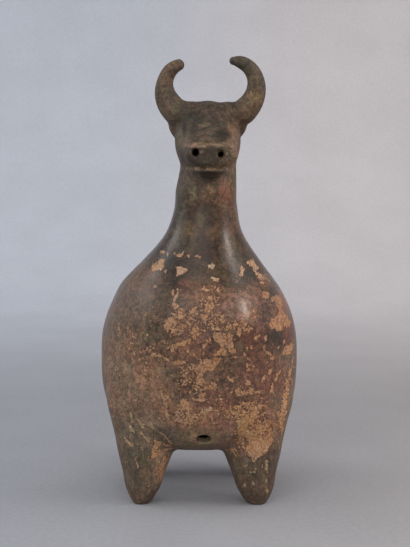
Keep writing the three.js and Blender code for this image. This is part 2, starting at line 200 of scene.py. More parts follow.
# Joins: how far a luted piece's clay is smeared over its neighbour, and places that part the pieces
PROUD = 0.9
TAIL_HALF = 10
TAIL_PART = 0.75
LEG_PART = 88

# Meshes: edge of their squares, squares in a block, and the corners of the box that is meshed
FINE = 0.8
COARSE = 2.4
BLOCK = 5
BLOCK_REACH = 1.25  # blocks from the surface where one is still sampled
BLOCK_SLACK = 1  # and a little more
LOW = np.array([-74, -82, -3.1])
HIGH = np.array([74, 84, 304])
FAR = 400  # beyond everything


# Fields: less than nothing inside, and about the distance to the surface near it


def smooth(t):
    return t * t * (3 - 2 * t)


def ease(low, high, x):
    """0 at low and 1 at high, with a smooth rise between them."""
    return smooth(np.clip((x - low) / (high - low), 0, 1))


def between(pair, share):
    return pair[0] + (pair[1] - pair[0]) * share


def curve(x, places, values):
    """A smooth curve through a few values."""
    places, values = np.array(places, float), np.array(values, float)
    slopes = np.gradient(values, places)
    x = np.clip(x, places[0], places[-1])
    i = np.clip(np.searchsorted(places, x) - 1, 0, len(places) - 2)
    span = places[i + 1] - places[i]
    t = (x - places[i]) / span
    rise = smooth(t)
    return (
        values[i] * (1 - rise)
        + values[i + 1] * rise
        + span * t * (1 - t) * (slopes[i] * (1 - t) - slopes[i + 1] * t)
    )


def lattice_noise(p, size, seed):
    """Smooth noise from -1 to 1, with features of about that size."""
    table = np.random.default_rng(SEED + seed).uniform(-1, 1, (NOISE_CELLS,) * 3)
    q = p / size
    i = np.floor(q).astype(int)
    f = smooth(q - i)
    made = np.zeros(len(p))
    for corner in CORNERS:
        share = np.where(corner, f, 1 - f)
        made += share[:, 0] * share[:, 1] * share[:, 2] * table[tuple(((i + corner) % NOISE_CELLS).T)]
    return made


def layered(p, layers):
    """Noises on top of each other: size, how much, seed."""
    return sum(much * lattice_noise(p, size, seed) for size, much, seed in layers)


def union(a, b, soft):
    """Two fields joined, with a fillet of about that size."""
    near = np.maximum(soft - np.abs(a - b), 0) / soft
    return np.minimum(a, b) - near * near * soft / 4


def cut(a, b, soft):
    """Field a without field b, with an edge rounded to about that size."""
    return -union(-a, b, soft)


def rounded(a, b, edge):
    """What is inside both fields, with an edge of that radius."""
    a, b = a + edge, b + edge
    return np.hypot(np.maximum(a, 0), np.maximum(b, 0)) + np.minimum(np.maximum(a, b), 0) - edge


def turned(a, b, angle):
    c, s = math.cos(angle), math.sin(angle)
    return a * c - b * s, a * s + b * c


def distance(field, p, step=0.15):
    """A field divided by its slope, which makes it nearly a distance."""
    slope = np.zeros(len(p))
    for axis in range(3):
        move = np.zeros(3)
        move[axis] = step
        slope += ((field(p + move) - field(p - move)) / (2 * step)) ** 2
    return field(p) / np.sqrt(np.maximum(slope, 1e-12))


def ellipsoid(p, middle, half):
    q = (p - middle) / half
    outward = np.linalg.norm(q, axis=1)
    slope = np.linalg.norm(q / half, axis=1)
    return outward * (outward - 1) / np.maximum(slope, 1e-9)


def reach(z, belly, neck, powers):
    """How far the shoulders and neck stand from the axis at a height."""
    rise = np.clip((z - BELLY_LEVEL) / SHOULDER_RISE, 0, 1)
    slim = neck - NECK_TAPER * np.maximum(0, z - NECK_LEVEL)
    return slim + (belly - neck) * (1 - rise ** powers[0]) ** powers[1]


def lean(z):
    above = z - LEAN_START
    return NECK_LEAN * (above + np.hypot(above, LEAN_EASE)) / 2


def back_at(z):
    return reach(z, RUMP, NAPE, BACK_CURVE)


def bump(x, z, side, level, half_width, half_height):
    """A smooth mound as seen from the front: 1 at its middle."""
    return np.exp(-(((x - side) / half_width) ** 2) - ((z - level) / half_height) ** 2)


# Swells and hollows of the outline: side, height above the belly line, half height, how far it stands out
SIDE_RELIEF = (
    (-1, 80, 12, -1.3),
    (-1, 50, 10, 1.8),
    (-1, -38, 11, -1.0),
    (-1, 112, 8, 0.5),
    (1, 98, 9, 1.1),
)

# Relief of the chest: side, height above the belly line, half width, half height, how far it stands out
CHEST_RELIEF = (
    (30, 31, 17, 18, 3.6),
    (-29, 33, 19, 19, 2.8),
    (0, 56, 34, 6.5, -1.9),
    (26, 51, 15, 4.5, -1.3),
    (0, 33, 8, 20, -0.7),
)


def body_raw(p):
    x, y, z = p[:, 0] - lean(p[:, 2]), p[:, 1], p[:, 2]
    above = z > BELLY_LEVEL
    depth = np.clip((BELLY_LEVEL - z) / (BELLY_LEVEL - FOOT), 0, 2)
    flank = np.where(above, reach(z, FLANK, NECK_HALF, FLANK_CURVE), FLANK)
    chest = np.where(above, reach(z, CHEST, THROAT, FLANK_CURVE), CHEST)
    back = np.where(above, back_at(z), RUMP)
    middle = (back - chest) / 2
    front = np.clip((middle - y) / np.maximum(np.hypot(x, y - middle), 1e-6), 0, 1)
    relief = sum(high * bump(x, z - BELLY_LEVEL, *place) for *place, high in CHEST_RELIEF)
    y = y + front * relief
    sideways = x / np.maximum(np.hypot(x, y - middle), 1e-6)
    for side, level, half_height, out in SIDE_RELIEF:
        share = np.clip(side * sideways, 0, 1) * np.exp(-(((z - BELLY_LEVEL - level) / half_height) ** 2))
        x = x - side * out * share
    power = between(PLAN_POWER, np.minimum(depth, 1))
    across, along = np.abs(x / flank), np.abs((y - middle) / ((chest + back) / 2))
    round_plan = (across**power + along**power + 1e-12) ** (1 / power)
    return (round_plan**BOWL_POWER + depth**BOWL_POWER) ** (1 / BOWL_POWER) - 1


def body(p):
    """The bowl, shoulders and neck, without what is luted on."""
    return np.maximum(distance(body_raw, p), p[:, 2] - NECK_TOP)


def snout_raw(p):
    (root_half, root_high, root), (end_half, end_high, end) = SNOUT_ROOT, SNOUT_END
    t = np.clip((p[:, 1] - SKULL[1] - root) / (end - root), *SNOUT_PAST)
    x = p[:, 0] - SKULL[0] - SNOUT_SIDE * t
    z = p[:, 2] - SKULL[2] + SNOUT_DROP * t
    return np.hypot(x / between((root_half, end_half), t), z / between((root_high, end_high), t)) - 1


def snout(p):
    along = p[:, 1] - SKULL[1]
    ends = np.maximum(SNOUT_END[2] - along, along - SNOUT_ROOT[2])
    return -union(-distance(snout_raw, p), -ends, FILLETS["snout_end"])


def poll(p):
    x = p[:, 0] - SKULL[0]
    x = x - np.clip(x, -POLL_HALF, POLL_HALF)
    return np.sqrt(x * x + (p[:, 1] - SKULL[1]) ** 2 + (p[:, 2] - SKULL[2] - POLL_RISE) ** 2) - POLL_RADIUS


def head(p):
    """Skull, snout and poll, joined to the neck."""
    made = union(ellipsoid(p, SKULL, SKULL_HALF), snout(p), FILLETS["snout"])
    return union(union(made, poll(p), FILLETS["poll"]), body(p), FILLETS["neck"])


def muzzle(p):
    """The flat nose pad, with the jaw and chin under it."""
    q = p - PAD
    rim = ellipsoid(q * (1, 0, 1), np.zeros(3), np.array([PAD_HALF[0], 1, PAD_HALF[2]]))
    pad = rounded(rim, np.abs(q[:, 1]) - PAD_HALF[1], PAD_EDGE)
    jaw = union(ellipsoid(p, JAW, JAW_HALF), ellipsoid(p, CHIN, CHIN_HALF), FILLETS["chin"])
    return union(pad, jaw, FILLETS["jaw"])


def nostrils(p):
    front = PAD[1] - PAD_HALF[1]
    narrower = NOSTRIL_TAPER * ease(front + NOSTRIL_MOUTH[0], front + NOSTRIL_MOUTH[1], p[:, 1])
    left, right = (
        np.hypot(p[:, 0] - SKULL[0] - side, p[:, 2] - SKULL[2] - rise) - radius + narrower
        for side, rise, radius in NOSTRILS
    )
    return np.maximum(np.minimum(left, right), p[:, 1] - SKULL[1])


def horn(p, side, middle, angles, bends, radii):
    q = p - (SKULL + middle)
    q[:, 2] += bends[0]
    y, z = turned(q[:, 1], q[:, 2], -HORN_TILT)
    z = z - bends[0]
    x = q[:, 0] * side
    angle = np.degrees(np.arctan2(z, x))
    angle = np.where(angle < HORN_SEAM, angle + 360, angle)
    angle = np.clip(angle, angles[0], angles[-1])
    turn = np.radians(angle)
    bend = curve(angle, angles, bends)
    away = np.sqrt((x - bend * np.cos(turn)) ** 2 + y * y + (z - bend * np.sin(turn)) ** 2)
    return away - curve(angle, angles, radii)


def ear(p, side):
    q = p - (SKULL + (side * EAR["out"], EAR["back"], EAR["rise"]))
    x, z = turned(q[:, 0], q[:, 2], side * EAR["droop"])
    q = np.stack([x, q[:, 1], z], 1)
    flap = ellipsoid(q, np.zeros(3), np.array(EAR["half"]))
    fold_at = np.array([side * EAR_FOLD["out"], EAR_FOLD["back"], EAR_FOLD["rise"]])
    return cut(flap, ellipsoid(q, fold_at, np.array(EAR_FOLD["half"])), EDGES["fold"])


def leg(p, side, foot):
    x = p[:, 0] - side * (STANCE[side] - SPLAY * p[:, 2])
    y = p[:, 1] - foot * (1 - RAKE * p[:, 2] / abs(foot))
    radius = curve(p[:, 2], LEG_HEIGHTS, LEG_RADII) + LEG_EXTRA[side]
    return (np.hypot(x, y) - radius) * LEG_STEEPNESS


def legs(p):
    made = [leg(p, side, foot) for side in (-1, 1) for foot in (FORE_FOOT, HIND_FOOT)]
    return np.maximum(np.minimum.reduce(made), p[:, 2] - LEG_TOP)


def tail(p):
    z = np.clip(p[:, 2], TAIL_TOP - TAIL_LENGTH, TAIL_TOP)
    part = (TAIL_TOP - z) / TAIL_LENGTH
    x = p[:, 0] - lean(z)
    y = p[:, 1] - back_at(np.maximum(z, BELLY_LEVEL)) + TAIL_SINK
    below = np.maximum(BELLY_LEVEL - z, 0) / (BELLY_LEVEL - FOOT)
    y = y + RUMP * (1 - (1 - below**BOWL_POWER) ** (1 / BOWL_POWER))
    return np.sqrt(x * x + y * y + (p[:, 2] - z) ** 2) - between(TAIL_RADII, part)


def from_filler(p):
    """How far outside the filling hole a place is, where the hole widens to its lip."""
    hole = FILLER_RADIUS + COLLAR_FLARE * ease(LIP - FLARE_HEIGHT, LIP, p[:, 2])
    return np.hypot(p[:, 0] - FILLER[0], p[:, 1] - FILLER[1]) - hole


def collar(p):
    ring = np.abs(from_filler(p) - COLLAR_WALL / 2) - COLLAR_WALL / 2
    return np.maximum(rounded(ring, p[:, 2] - LIP, COLLAR_EDGE), BELLY_LEVEL - p[:, 2])


def filler(p):
    return np.maximum(from_filler(p), BELLY_LEVEL - p[:, 2])


def bore(p):
    """How far from the outlet's axis, and how far along it."""
    inward = np.array([0, math.cos(OUTLET_SLOPE), math.sin(OUTLET_SLOPE)])
    q = p - OUTLET
    along = q @ inward
    return np.linalg.norm(q - along[:, None] * inward, axis=1), along


def outlet(p):
    """A hole pushed through the wall with a stick that pointed up and back."""
    off, along = bore(p)
    return np.maximum(off - OUTLET_RADIUS, along - OUTLET_DEPTH)


def clay(p):
    """The whole vessel's outside, holes included."""
    made = union(head(p), muzzle(p), FILLETS["muzzle"])
    for shape in HORNS.values():
        made = union(made, horn(p, **shape), FILLETS["horn"])
    for side in (-1, 1):
        made = union(made, ear(p, side), FILLETS["ear"])
    made = union(made, legs(p), between(LEG_FILLET, ease(*LEG_FILLET_AT, np.abs(p[:, 0]))))
    made = union(made, tail(p), FILLETS["tail"])
    made = union(made, collar(p), FILLETS["collar"])
    front = ease(SKULL[1], SKULL[1] - FACE, p[:, 1])
    made = made + front * sum(deep * bump(p[:, 0], p[:, 2], *place) for *place, deep in DIMPLES)
    for hole, edge in ((nostrils, "nostril"), (outlet, "outlet"), (filler, "filler")):
        made = cut(made, hole(p), EDGES[edge])
    return cut(made - layered(p, UNEVENNESS), p[:, 2], EDGES["sole"])


def cavity(p):
    """The hollow inside."""
    return head(p) + WALL


def shell(p):
    """The body, head and snout, with the little that stands proud of them."""
    return np.minimum(head(p), muzzle(p)) - PROUD


# Skins: a field's surface as a mesh of even squares


def spread(field, points, share=30000):
    """A field's values at many places, worked out in shares side by side."""
    parts = np.array_split(points, max(1, len(points) // share))
    with ThreadPoolExecutor() as pool:
        return np.concatenate(list(pool.map(field, parts)))


def sampled(field, low, high, step):
    """A field's values on a grid, worked out only in the blocks that the surface may cross."""
    side = BLOCK * step
    blocks = np.ceil((high - low) / side).astype(int)
    index = np.indices(blocks).reshape(3, -1).T
    middles = low + (index + 0.5) * BLOCK * step
    far = spread(field, middles)
    values = far.reshape(blocks)
    for axis in range(3):
        values = np.repeat(values, BLOCK, axis)
    values = values.astype(np.float32)
    near = index[np.abs(far) < side * BLOCK_REACH + BLOCK_SLACK]
    inner = np.indices((BLOCK,) * 3).reshape(3, -1).T
    nodes = (near[:, None, :] * BLOCK + inner[None, :, :]).reshape(-1, 3)
    values[tuple(nodes.T)] = spread(field, low + nodes * step)
    return values


def net(values, low, step):
    """Vertices and faces of the surface where the values change sign: a vertex in each cell on the way."""
    inside = values < 0
    nx, ny, nz = np.array(inside.shape) - 1
    count = sum(inside[a : nx + a, b : ny + b, c : nz + c].astype(np.uint8) for a, b, c in CORNERS)
    cells = np.argwhere((count > 0) & (count < 8))
    number = np.full((nx, ny, nz), -1, np.int32)
    number[tuple(cells.T)] = np.arange(len(cells))
    total, hits = np.zeros((len(cells), 3)), np.zeros(len(cells))
    for start in CORNERS:
        for axis in range(3):
            if start[axis]:
                continue
            end = start.copy()
            end[axis] = 1
            a = values[tuple((cells + start).T)].astype(float)
            b = values[tuple((cells + end).T)].astype(float)
            crossed = (a < 0) != (b < 0)
            t = np.where(crossed, a / np.where(crossed, a - b, 1), 0)
            total += (start + t[:, None] * (end - start)) * crossed[:, None]
            hits += crossed
    points = low + (cells + total / hits[:, None]) * step
    faces = []
    for axis in range(3):
        unit = np.eye(3, dtype=int)
        u, v = unit[(axis + 1) % 3], unit[(axis + 2) % 3]
        first = [slice(None)] * 3
        second = [slice(None)] * 3
        first[axis], second[axis] = slice(None, -1), slice(1, None)
        changes = np.argwhere(inside[tuple(first)] != inside[tuple(second)])
        changes = changes[((changes > 0) | (unit[axis] == 1)).all(1)]
        outward = inside[tuple(changes.T)]
        around = [number[tuple((changes - s).T)] for s in (0 * u, u, u + v, v)]
        quad = np.stack(around, 1)
        faces.append(np.where(outward[:, None], quad, quad[:, ::-1]))
    return points, np.concatenate(faces)


def slope_of(field, p, step=0.1):
    """Unit vectors that point out of a field's surface."""
    made = np.zeros_like(p)
    for axis in range(3):
        move = np.zeros(3)
        move[axis] = step
        made[:, axis] = spread(field, p + move) - spread(field, p - move)
    return made / np.maximum(np.linalg.norm(made, axis=1), 1e-9)[:, None]


def skin(field, low, high, step):
    """A field's surface, each vertex settled on it."""
    points, faces = net(sampled(field, low, high, step), low, step)
    for _ in range(2):
        outward = slope_of(field, points)
        points = points - outward * np.clip(spread(field, points), -step, step)[:, None]
    return points, faces


def shown(name, data):
    made = bpy.data.objects.new(name, data)
    bpy.context.scene.collection.objects.link(made)
    return made


def solid(name, points, faces):
    mesh = bpy.data.meshes.new(name)
    mesh.from_pydata((points * MM).tolist(), [], faces.tolist())
    return shown(name, mesh)


# Pieces: the skin cut up where the CAD frame's pieces meet


def block(name, low, high):
    """A closed box between two corners, to cut with."""
    points = np.where(CORNERS, high, low).astype(float)
    faces = np.array([(0, 1, 3, 2), (4, 6, 7, 5), (0, 4, 5, 1), (2, 3, 7, 6), (0, 2, 6, 4), (1, 5, 7, 3)])
    return solid(name, points, faces)


def removed(thing):
    data = thing.data
    bpy.data.objects.remove(thing)
    bpy.data.meshes.remove(data)


def combined(name, thing, other, operation):
    """A new object from two closed ones: DIFFERENCE or INTERSECT."""
    modifier = thing.modifiers.new("cut", "BOOLEAN")
    modifier.solver = "MANIFOLD"
    modifier.operation = operation
    modifier.object = other
    bpy.context.view_layer.update()
    graph = bpy.context.evaluated_depsgraph_get()
    mesh = bpy.data.meshes.new_from_object(thing.evaluated_get(graph))
    thing.modifiers.remove(modifier)
    return shown(name, mesh)


def within(name, thing, low, high):
    """The part of an object between two corners."""
    tool = block("tool", low, high)
    made = combined(name, thing, tool, "INTERSECT")
    removed(tool)
    return made


def pieces():
    """The vessel as one closed object for each piece of the CAD frame, by the CAD piece's name."""
    outside = solid("outside", *skin(clay, LOW, HIGH, FINE))
    hollow = solid("hollow", *skin(cavity, LOW, HIGH, COARSE))
    shells = solid("shells", *skin(shell, LOW, HIGH, COARSE))
    vessel = combined("vessel", outside, hollow, "DIFFERENCE")
    nose_low, nose_high = (-FAR, -FAR, NECK_CUT), (FAR, MUZZLE_CUT, FAR)
    nose = block("nose", nose_low, nose_high)
    rest = combined("rest", vessel, nose, "DIFFERENCE")
    walls = combined("walls", rest, shells, "INTERSECT")
    luted = combined("luted", rest, shells, "DIFFERENCE")
    parts = {"muzzle": (vessel, nose_low, nose_high)}
    shell_names = ("belly_shell", "shoulder_shell", "neck_tube", "head_shell")
    levels = (-FAR, BELLY_CUT, NECK_CUT, HEAD_CUT, FAR)
    for name, low, high in zip(shell_names, levels, levels[1:]):
        parts[name] = (walls, (-FAR, -FAR, low), (FAR, FAR, high))
    middle = SKULL[0]
    for side, low, high in (("left", -FAR, middle), ("right", middle, FAR)):
        parts["horn_" + side] = (luted, (low, -FAR, EAR_CUT), (high, FAR, FAR))
        parts["ear_" + side] = (luted, (low, -FAR, HEAD_CUT), (high, FAR, EAR_CUT))
    for side, low, high in (("left", -FAR, -TAIL_HALF), ("right", TAIL_HALF, FAR)):
        parts["foreleg_" + side] = (luted, (low, -FAR, -FAR), (high, 0, LEG_PART))
        parts["hindleg_" + side] = (luted, (low, 0, -FAR), (high, FAR, LEG_PART))
    tail_front = RUMP * TAIL_PART
    parts["tail"] = (luted, (-TAIL_HALF, tail_front, -FAR), (TAIL_HALF, FAR, collar_low[2]))
    parts["filler_collar"] = (luted, (-FAR, -TAIL_HALF, BELLY_CUT), (FAR, tail_front, HEAD_CUT))
    made = {node: within(node + "_clay", *part) for node, part in parts.items()}
    for thing in (outside, hollow, shells, vessel, nose, rest, walls, luted):
        removed(thing)
    return made


# Marks on the front, read off the photo, in millimetres: how far to the right, and how high

# Patches where the slip has flaked off, as outlines
FLAKES = (
    # claw at the left shoulder
    ((-22.5, 167), (-23.5, 161), (-25, 160), (-28, 159.5), (-30.5, 157.5), (-32, 160.5), (-30.5, 162.5),
        (-27, 163.5), (-26, 166)),
    # square chip
    ((-14, 162), (-10, 162), (-6.5, 160.5), (-8.5, 158), (-14, 156)),
    # chip over it
    ((-9, 172), (-10.5, 169), (-12, 167.5), (-14, 168.5), (-12.5, 171)),
    # narrow flake
    ((27.5, 163.5), (30, 160.5), (28.5, 156), (27, 155.5), (27, 159.5)),
    # square flake and its tail
    ((32.5, 165), (36.5, 165.5), (39.5, 160.5), (38.5, 157.5), (42.5, 155), (39, 155), (36.5, 158.5),
        (35.5, 161), (33.5, 162)),
    # flake over the right dome
    ((42, 145.5), (45, 144.5), (47.5, 142.5), (45.5, 140), (42, 141.5)),
    # tall orange flake
    ((47, 140), (50.5, 140.5), (55.5, 140.5), (56.5, 137.5), (56, 133.5), (57.5, 129), (61, 124.5),
        (62.5, 122), (61.5, 118.5), (57, 121), (55.5, 118.5), (52.5, 118.5), (50.5, 120), (48, 120),
        (46.5, 123.5), (48, 127.5), (51.5, 127), (54, 129.5), (52.5, 134), (50.5, 137.5)),
    # flake at the right edge
    ((57, 107.5), (64, 107.5), (64, 103), (61.5, 100.5), (56, 102.5)),
    # row of flakes
    ((27, 85.5), (27, 83.5), (30.5, 82), (33, 84), (35.5, 84), (37.5, 81), (41.5, 83), (41.5, 80),
        (35.5, 80), (30.5, 80), (24, 79), (23, 82), (24, 84.5)),
    # hand in the middle
    ((10, 122), (13, 121.5), (14.5, 119.5), (17.5, 121), (20.5, 120), (23.5, 116), (23, 114),
        (21.5, 111.5), (25, 109), (21.5, 106.5), (19.5, 110.5), (17.5, 111.5), (17, 107), (14, 107),
        (14.5, 110.5), (13.5, 114), (8.5, 117)),
    # bright bar and its foot
    ((-6, 102), (-1.5, 101), (4.5, 104.5), (8, 105.5), (14, 104.5), (13.5, 102), (10.5, 99.5),
        (9, 96.5), (6, 97.5), (3.5, 94.5), (3, 91), (5.5, 89), (1, 88.5), (-1.5, 90.5), (-1, 95),
        (-3.5, 99.5)),
    # flake under the bar
    ((7.5, 90.5), (11.5, 88.5), (12, 85.5), (10, 83.5), (7, 85.5), (3, 84.5), (3.5, 86.5), (7, 87)),
    # low middle flake
    ((-4.5, 79.5), (0.5, 79), (3, 83.5), (5, 82), (3.5, 80), (6, 78.5), (1.5, 77), (-3.5, 77.5)),
    # peak low on the left
    ((-10, 79), (-7, 76.5), (-6, 73.5), (-4.5, 71), (-9.5, 71), (-13, 69), (-14, 74), (-12, 75.5)),
    # flake on the left leg
    ((-29, 46), (-25.5, 43), (-25.5, 39), (-27.5, 34), (-31, 35), (-31, 41)),
)

# Small flakes: place, half width, half height
SPOTS = (
    (-23.5, 170.5, 1.2, 1.2), (-20.5, 169.5, 0.7, 0.7), (-15.5, 170, 0.7, 0.7), (-6.5, 169.5, 0.8, 0.8),
    (-21.5, 159, 0.8, 0.7), (-27.5, 149, 0.8, 0.8), (9, 163, 2.0, 1.7), (32.5, 103.5, 1.0, 0.9),
    (29.5, 106.5, 1.0, 0.8), (31.5, 110.5, 0.9, 1.0), (34.5, 111, 0.8, 0.8), (44, 115.5, 0.8, 1.7),
    (43, 109.5, 1.2, 1.0), (48.5, 102, 1.4, 1.1), (45, 99.5, 0.8, 0.9), (32, 99, 1.4, 1.2),
    (35.5, 98, 1.2, 0.8), (32, 95.5, 1.3, 0.7), (35.5, 95.5, 0.8, 1.0), (47, 93, 1.7, 2.3),
    (52.5, 108, 0.8, 0.7), (57, 110.5, 0.8, 0.8), (20.5, 96, 0.7, 0.7), (21.5, 105, 0.8, 0.8),
    (23.5, 105, 0.7, 0.7), (12, 91.5, 0.8, 0.8), (28.5, 75, 1.2, 0.8), (26, 121, 1.5, 2.2),
    (32, 87.5, 1.7, 1.5), (-33, 119, 0.7, 0.7), (-36.5, 120.5, 0.8, 0.9), (-27.5, 114, 0.9, 0.7),
    (-42, 106, 1.1, 1.0), (-33, 36, 1.0, 0.8), (31.5, 29, 1.2, 1.4), (37.5, 27, 1.0, 0.8),
    (42, 28.5, 0.7, 1.2), (36.5, 16.5, 0.8, 1.4), (30.5, 15.5, 1.0, 1.0), (45.5, 18, 0.7, 0.8),
    (45.5, 11, 0.8, 1.2), (-26.5, 92.5, 0.8, 0.7), (-11, 96, 0.7, 0.7), (-3, 108, 1.2, 0.9),
    (-7, 109.5, 0.9, 0.8),
)

# Scratches and thin flakes: two ends, half width
SCRATCHES = (
    (-2.5, 169.5, 1, 168.5, 0.5), (8.5, 155.5, 11.5, 153.5, 0.8), (-13, 148.5, -16, 137, 0.7),
    (-17, 148, -16.5, 144.5, 0.8), (43.5, 108, 47, 104.5, 0.8), (19.5, 92.5, 21.5, 90, 0.8),
    (50.5, 87, 53.5, 91.5, 0.9), (41.5, 88, 43.5, 91, 0.8), (49, 84, 48, 79, 0.8),
    (36.5, 116, 39, 117.5, 0.7), (-30.5, 106.5, -24, 105.5, 0.7), (-24, 105.5, -17, 102.5, 0.6),
    (-15.5, 102, -9, 102.5, 1.0), (-24.5, 86, -21.5, 75, 1.0), (-21.5, 75, -20, 64.5, 1.1),
    (-23.5, 83, -18, 77, 0.8), (-29, 47.5, -24.5, 44.5, 0.8), (-24.5, 44.5, -19, 42, 0.8),
    (-22.5, 39.5, -19, 39.5, 1.0), (-25, 53.5, -22.5, 52.5, 0.8), (-22.5, 52.5, -19.5, 48, 0.7),
    (-19.5, 48, -17.5, 43.5, 0.6), (-44, 65.5, -43.5, 59.5, 0.8), (-39, 61, -36.5, 57.5, 1.2),
    (-32, 61.5, -30, 57.5, 1.0), (-45, 56.5, -43, 53.5, 1.4), (-48.5, 47.5, -45, 43, 1.0),
    (-37, 52.5, -32.5, 46, 1.2), (-41.5, 34, -40, 27, 0.5), (33, 24.5, 37.5, 24.5, 0.7),
    (45.5, 32, 45.5, 24, 0.8), (22.5, 39, 26, 34, 0.6), (24.5, 39.5, 27.5, 36, 0.5),
    (13, 108, 15.5, 112, 0.8), (3, 112.5, 7, 116.5, 0.7),
)

# Stretches where slip and bare clay mix: share of bare clay, outline
MIXTURES = (
    # mottled patch left of the middle
    (0.48, ((-17.5, 137.5), (-13.5, 140.5), (-8, 136), (-4.5, 137.5), (0.5, 141), (5, 136), (4.5, 127),
        (-4.5, 124.5), (-8, 122), (-12, 119), (-16.5, 116.5), (-21.5, 120), (-24, 125.5),
        (-22.5, 129.5), (-18.5, 132.5))),
    # its lower half
    (0.6, ((-14.5, 116), (-10, 117.5), (-5.5, 118.5), (-4.5, 115), (-9.5, 112.5), (-12, 110),
        (-17.5, 108), (-19.5, 110.5), (-17.5, 113))),
    # middle top
    (0.42, ((1, 149.5), (9, 152.5), (15.5, 149.5), (16.5, 141), (18, 129.5), (15.5, 122), (5, 121.5),
        (-4.5, 114.5), (-8, 122), (-4.5, 127), (-0.5, 137.5))),
    # under the right dome
    (0.42, ((15.5, 129.5), (27, 129.5), (37.5, 127), (39, 121.5), (30, 119.5), (22, 121), (15.5, 122))),
    # right dome's right half
    (0.36, ((30, 149), (37.5, 143.5), (41.5, 135), (37.5, 127), (31, 129.5), (33.5, 138.5))),
    # neck's foot on the right
    (0.44, ((37.5, 155.5), (44, 156.5), (51.5, 149), (47, 147), (40.5, 149))),
    # right edge band
    (0.52, ((61.5, 98.5), (66, 98), (64, 87), (61, 74.5), (59, 58.5), (56.5, 45.5), (51.5, 58.5),
        (54.5, 74.5), (57.5, 85.5), (60.5, 93))),
    # low right patch
    (0.76, ((25.5, 64), (30, 67), (33.5, 63), (32.5, 57), (36, 52.5), (39, 50), (43, 48.5), (47.5, 52.5),
        (50, 46), (47, 41), (43, 37), (40, 35), (36.5, 32.5), (33, 36), (31, 41), (33.5, 45.5),
        (30, 50), (26, 51.5), (25, 58))),
    # maroon in its upper part
    (0.44, ((31, 66), (36, 69), (43, 64), (51, 63), (51.5, 53), (47, 51), (40, 48.5), (34.5, 53),
        (32, 58))),
    # its left rim
    (0.42, ((24.5, 50.5), (30.5, 50.5), (33, 45), (31, 39), (27, 42.5))),
    # over the low right patch
    (0.47, ((15.5, 70), (22, 75), (33.5, 77.5), (43, 75), (50.5, 75), (47, 71.5), (44, 62),
        (36, 60), (28, 57), (18, 65))),
    # low middle
    (0.52, ((-13.5, 70.5), (-4.5, 70.5), (5, 75), (11.5, 71.5), (5, 66.5), (-1.5, 58.5), (-9.5, 59.5),
        (-18.5, 62.5), (-21.5, 70))),
    # low middle right
    (0.3, ((5, 75), (16.5, 74), (22, 62.5), (16.5, 57.5), (-1.5, 58.5), (3.5, 66.5))),
    # left of the bar
    (0.4, ((-9.5, 102), (-3, 100.5), (-1.5, 94), (-5.5, 91.5), (-11, 96.5))),
    # left flank flakes
    (0.44, ((-36.5, 113), (-28, 114), (-26.5, 109.5), (-32, 105), (-38.5, 107.5))),
    # left flank blush
    (0.4, ((-35.5, 102), (-31, 100.5), (-30.5, 88), (-34.5, 86.5), (-39.5, 93))),
    # beside the left strokes
    (0.4, ((-25, 88), (-20, 83), (-16, 72.5), (-17.5, 62.5), (-22.5, 65), (-24, 75), (-27, 83))),
    # inner side of the left leg
    (0.64, ((-25, 33.5), (-20.5, 37), (-21.5, 28.5), (-24.5, 19.5), (-27, 16.5), (-29, 22), (-27, 27))),
    # left leg spot
    (0.46, ((-35.5, 16.5), (-33, 16.5), (-32.5, 11), (-34.5, 9.5), (-35.5, 12.5))),
    # reddish band beside the hole
    (0.34, ((19.5, 61), (29, 55), (30.5, 38), (26, 38), (20.5, 47))),
    # edge strokes on the right
    (0.5, ((51.5, 66.5), (56, 66.5), (55, 52.5), (52, 45.5), (51.5, 57.5))),
)
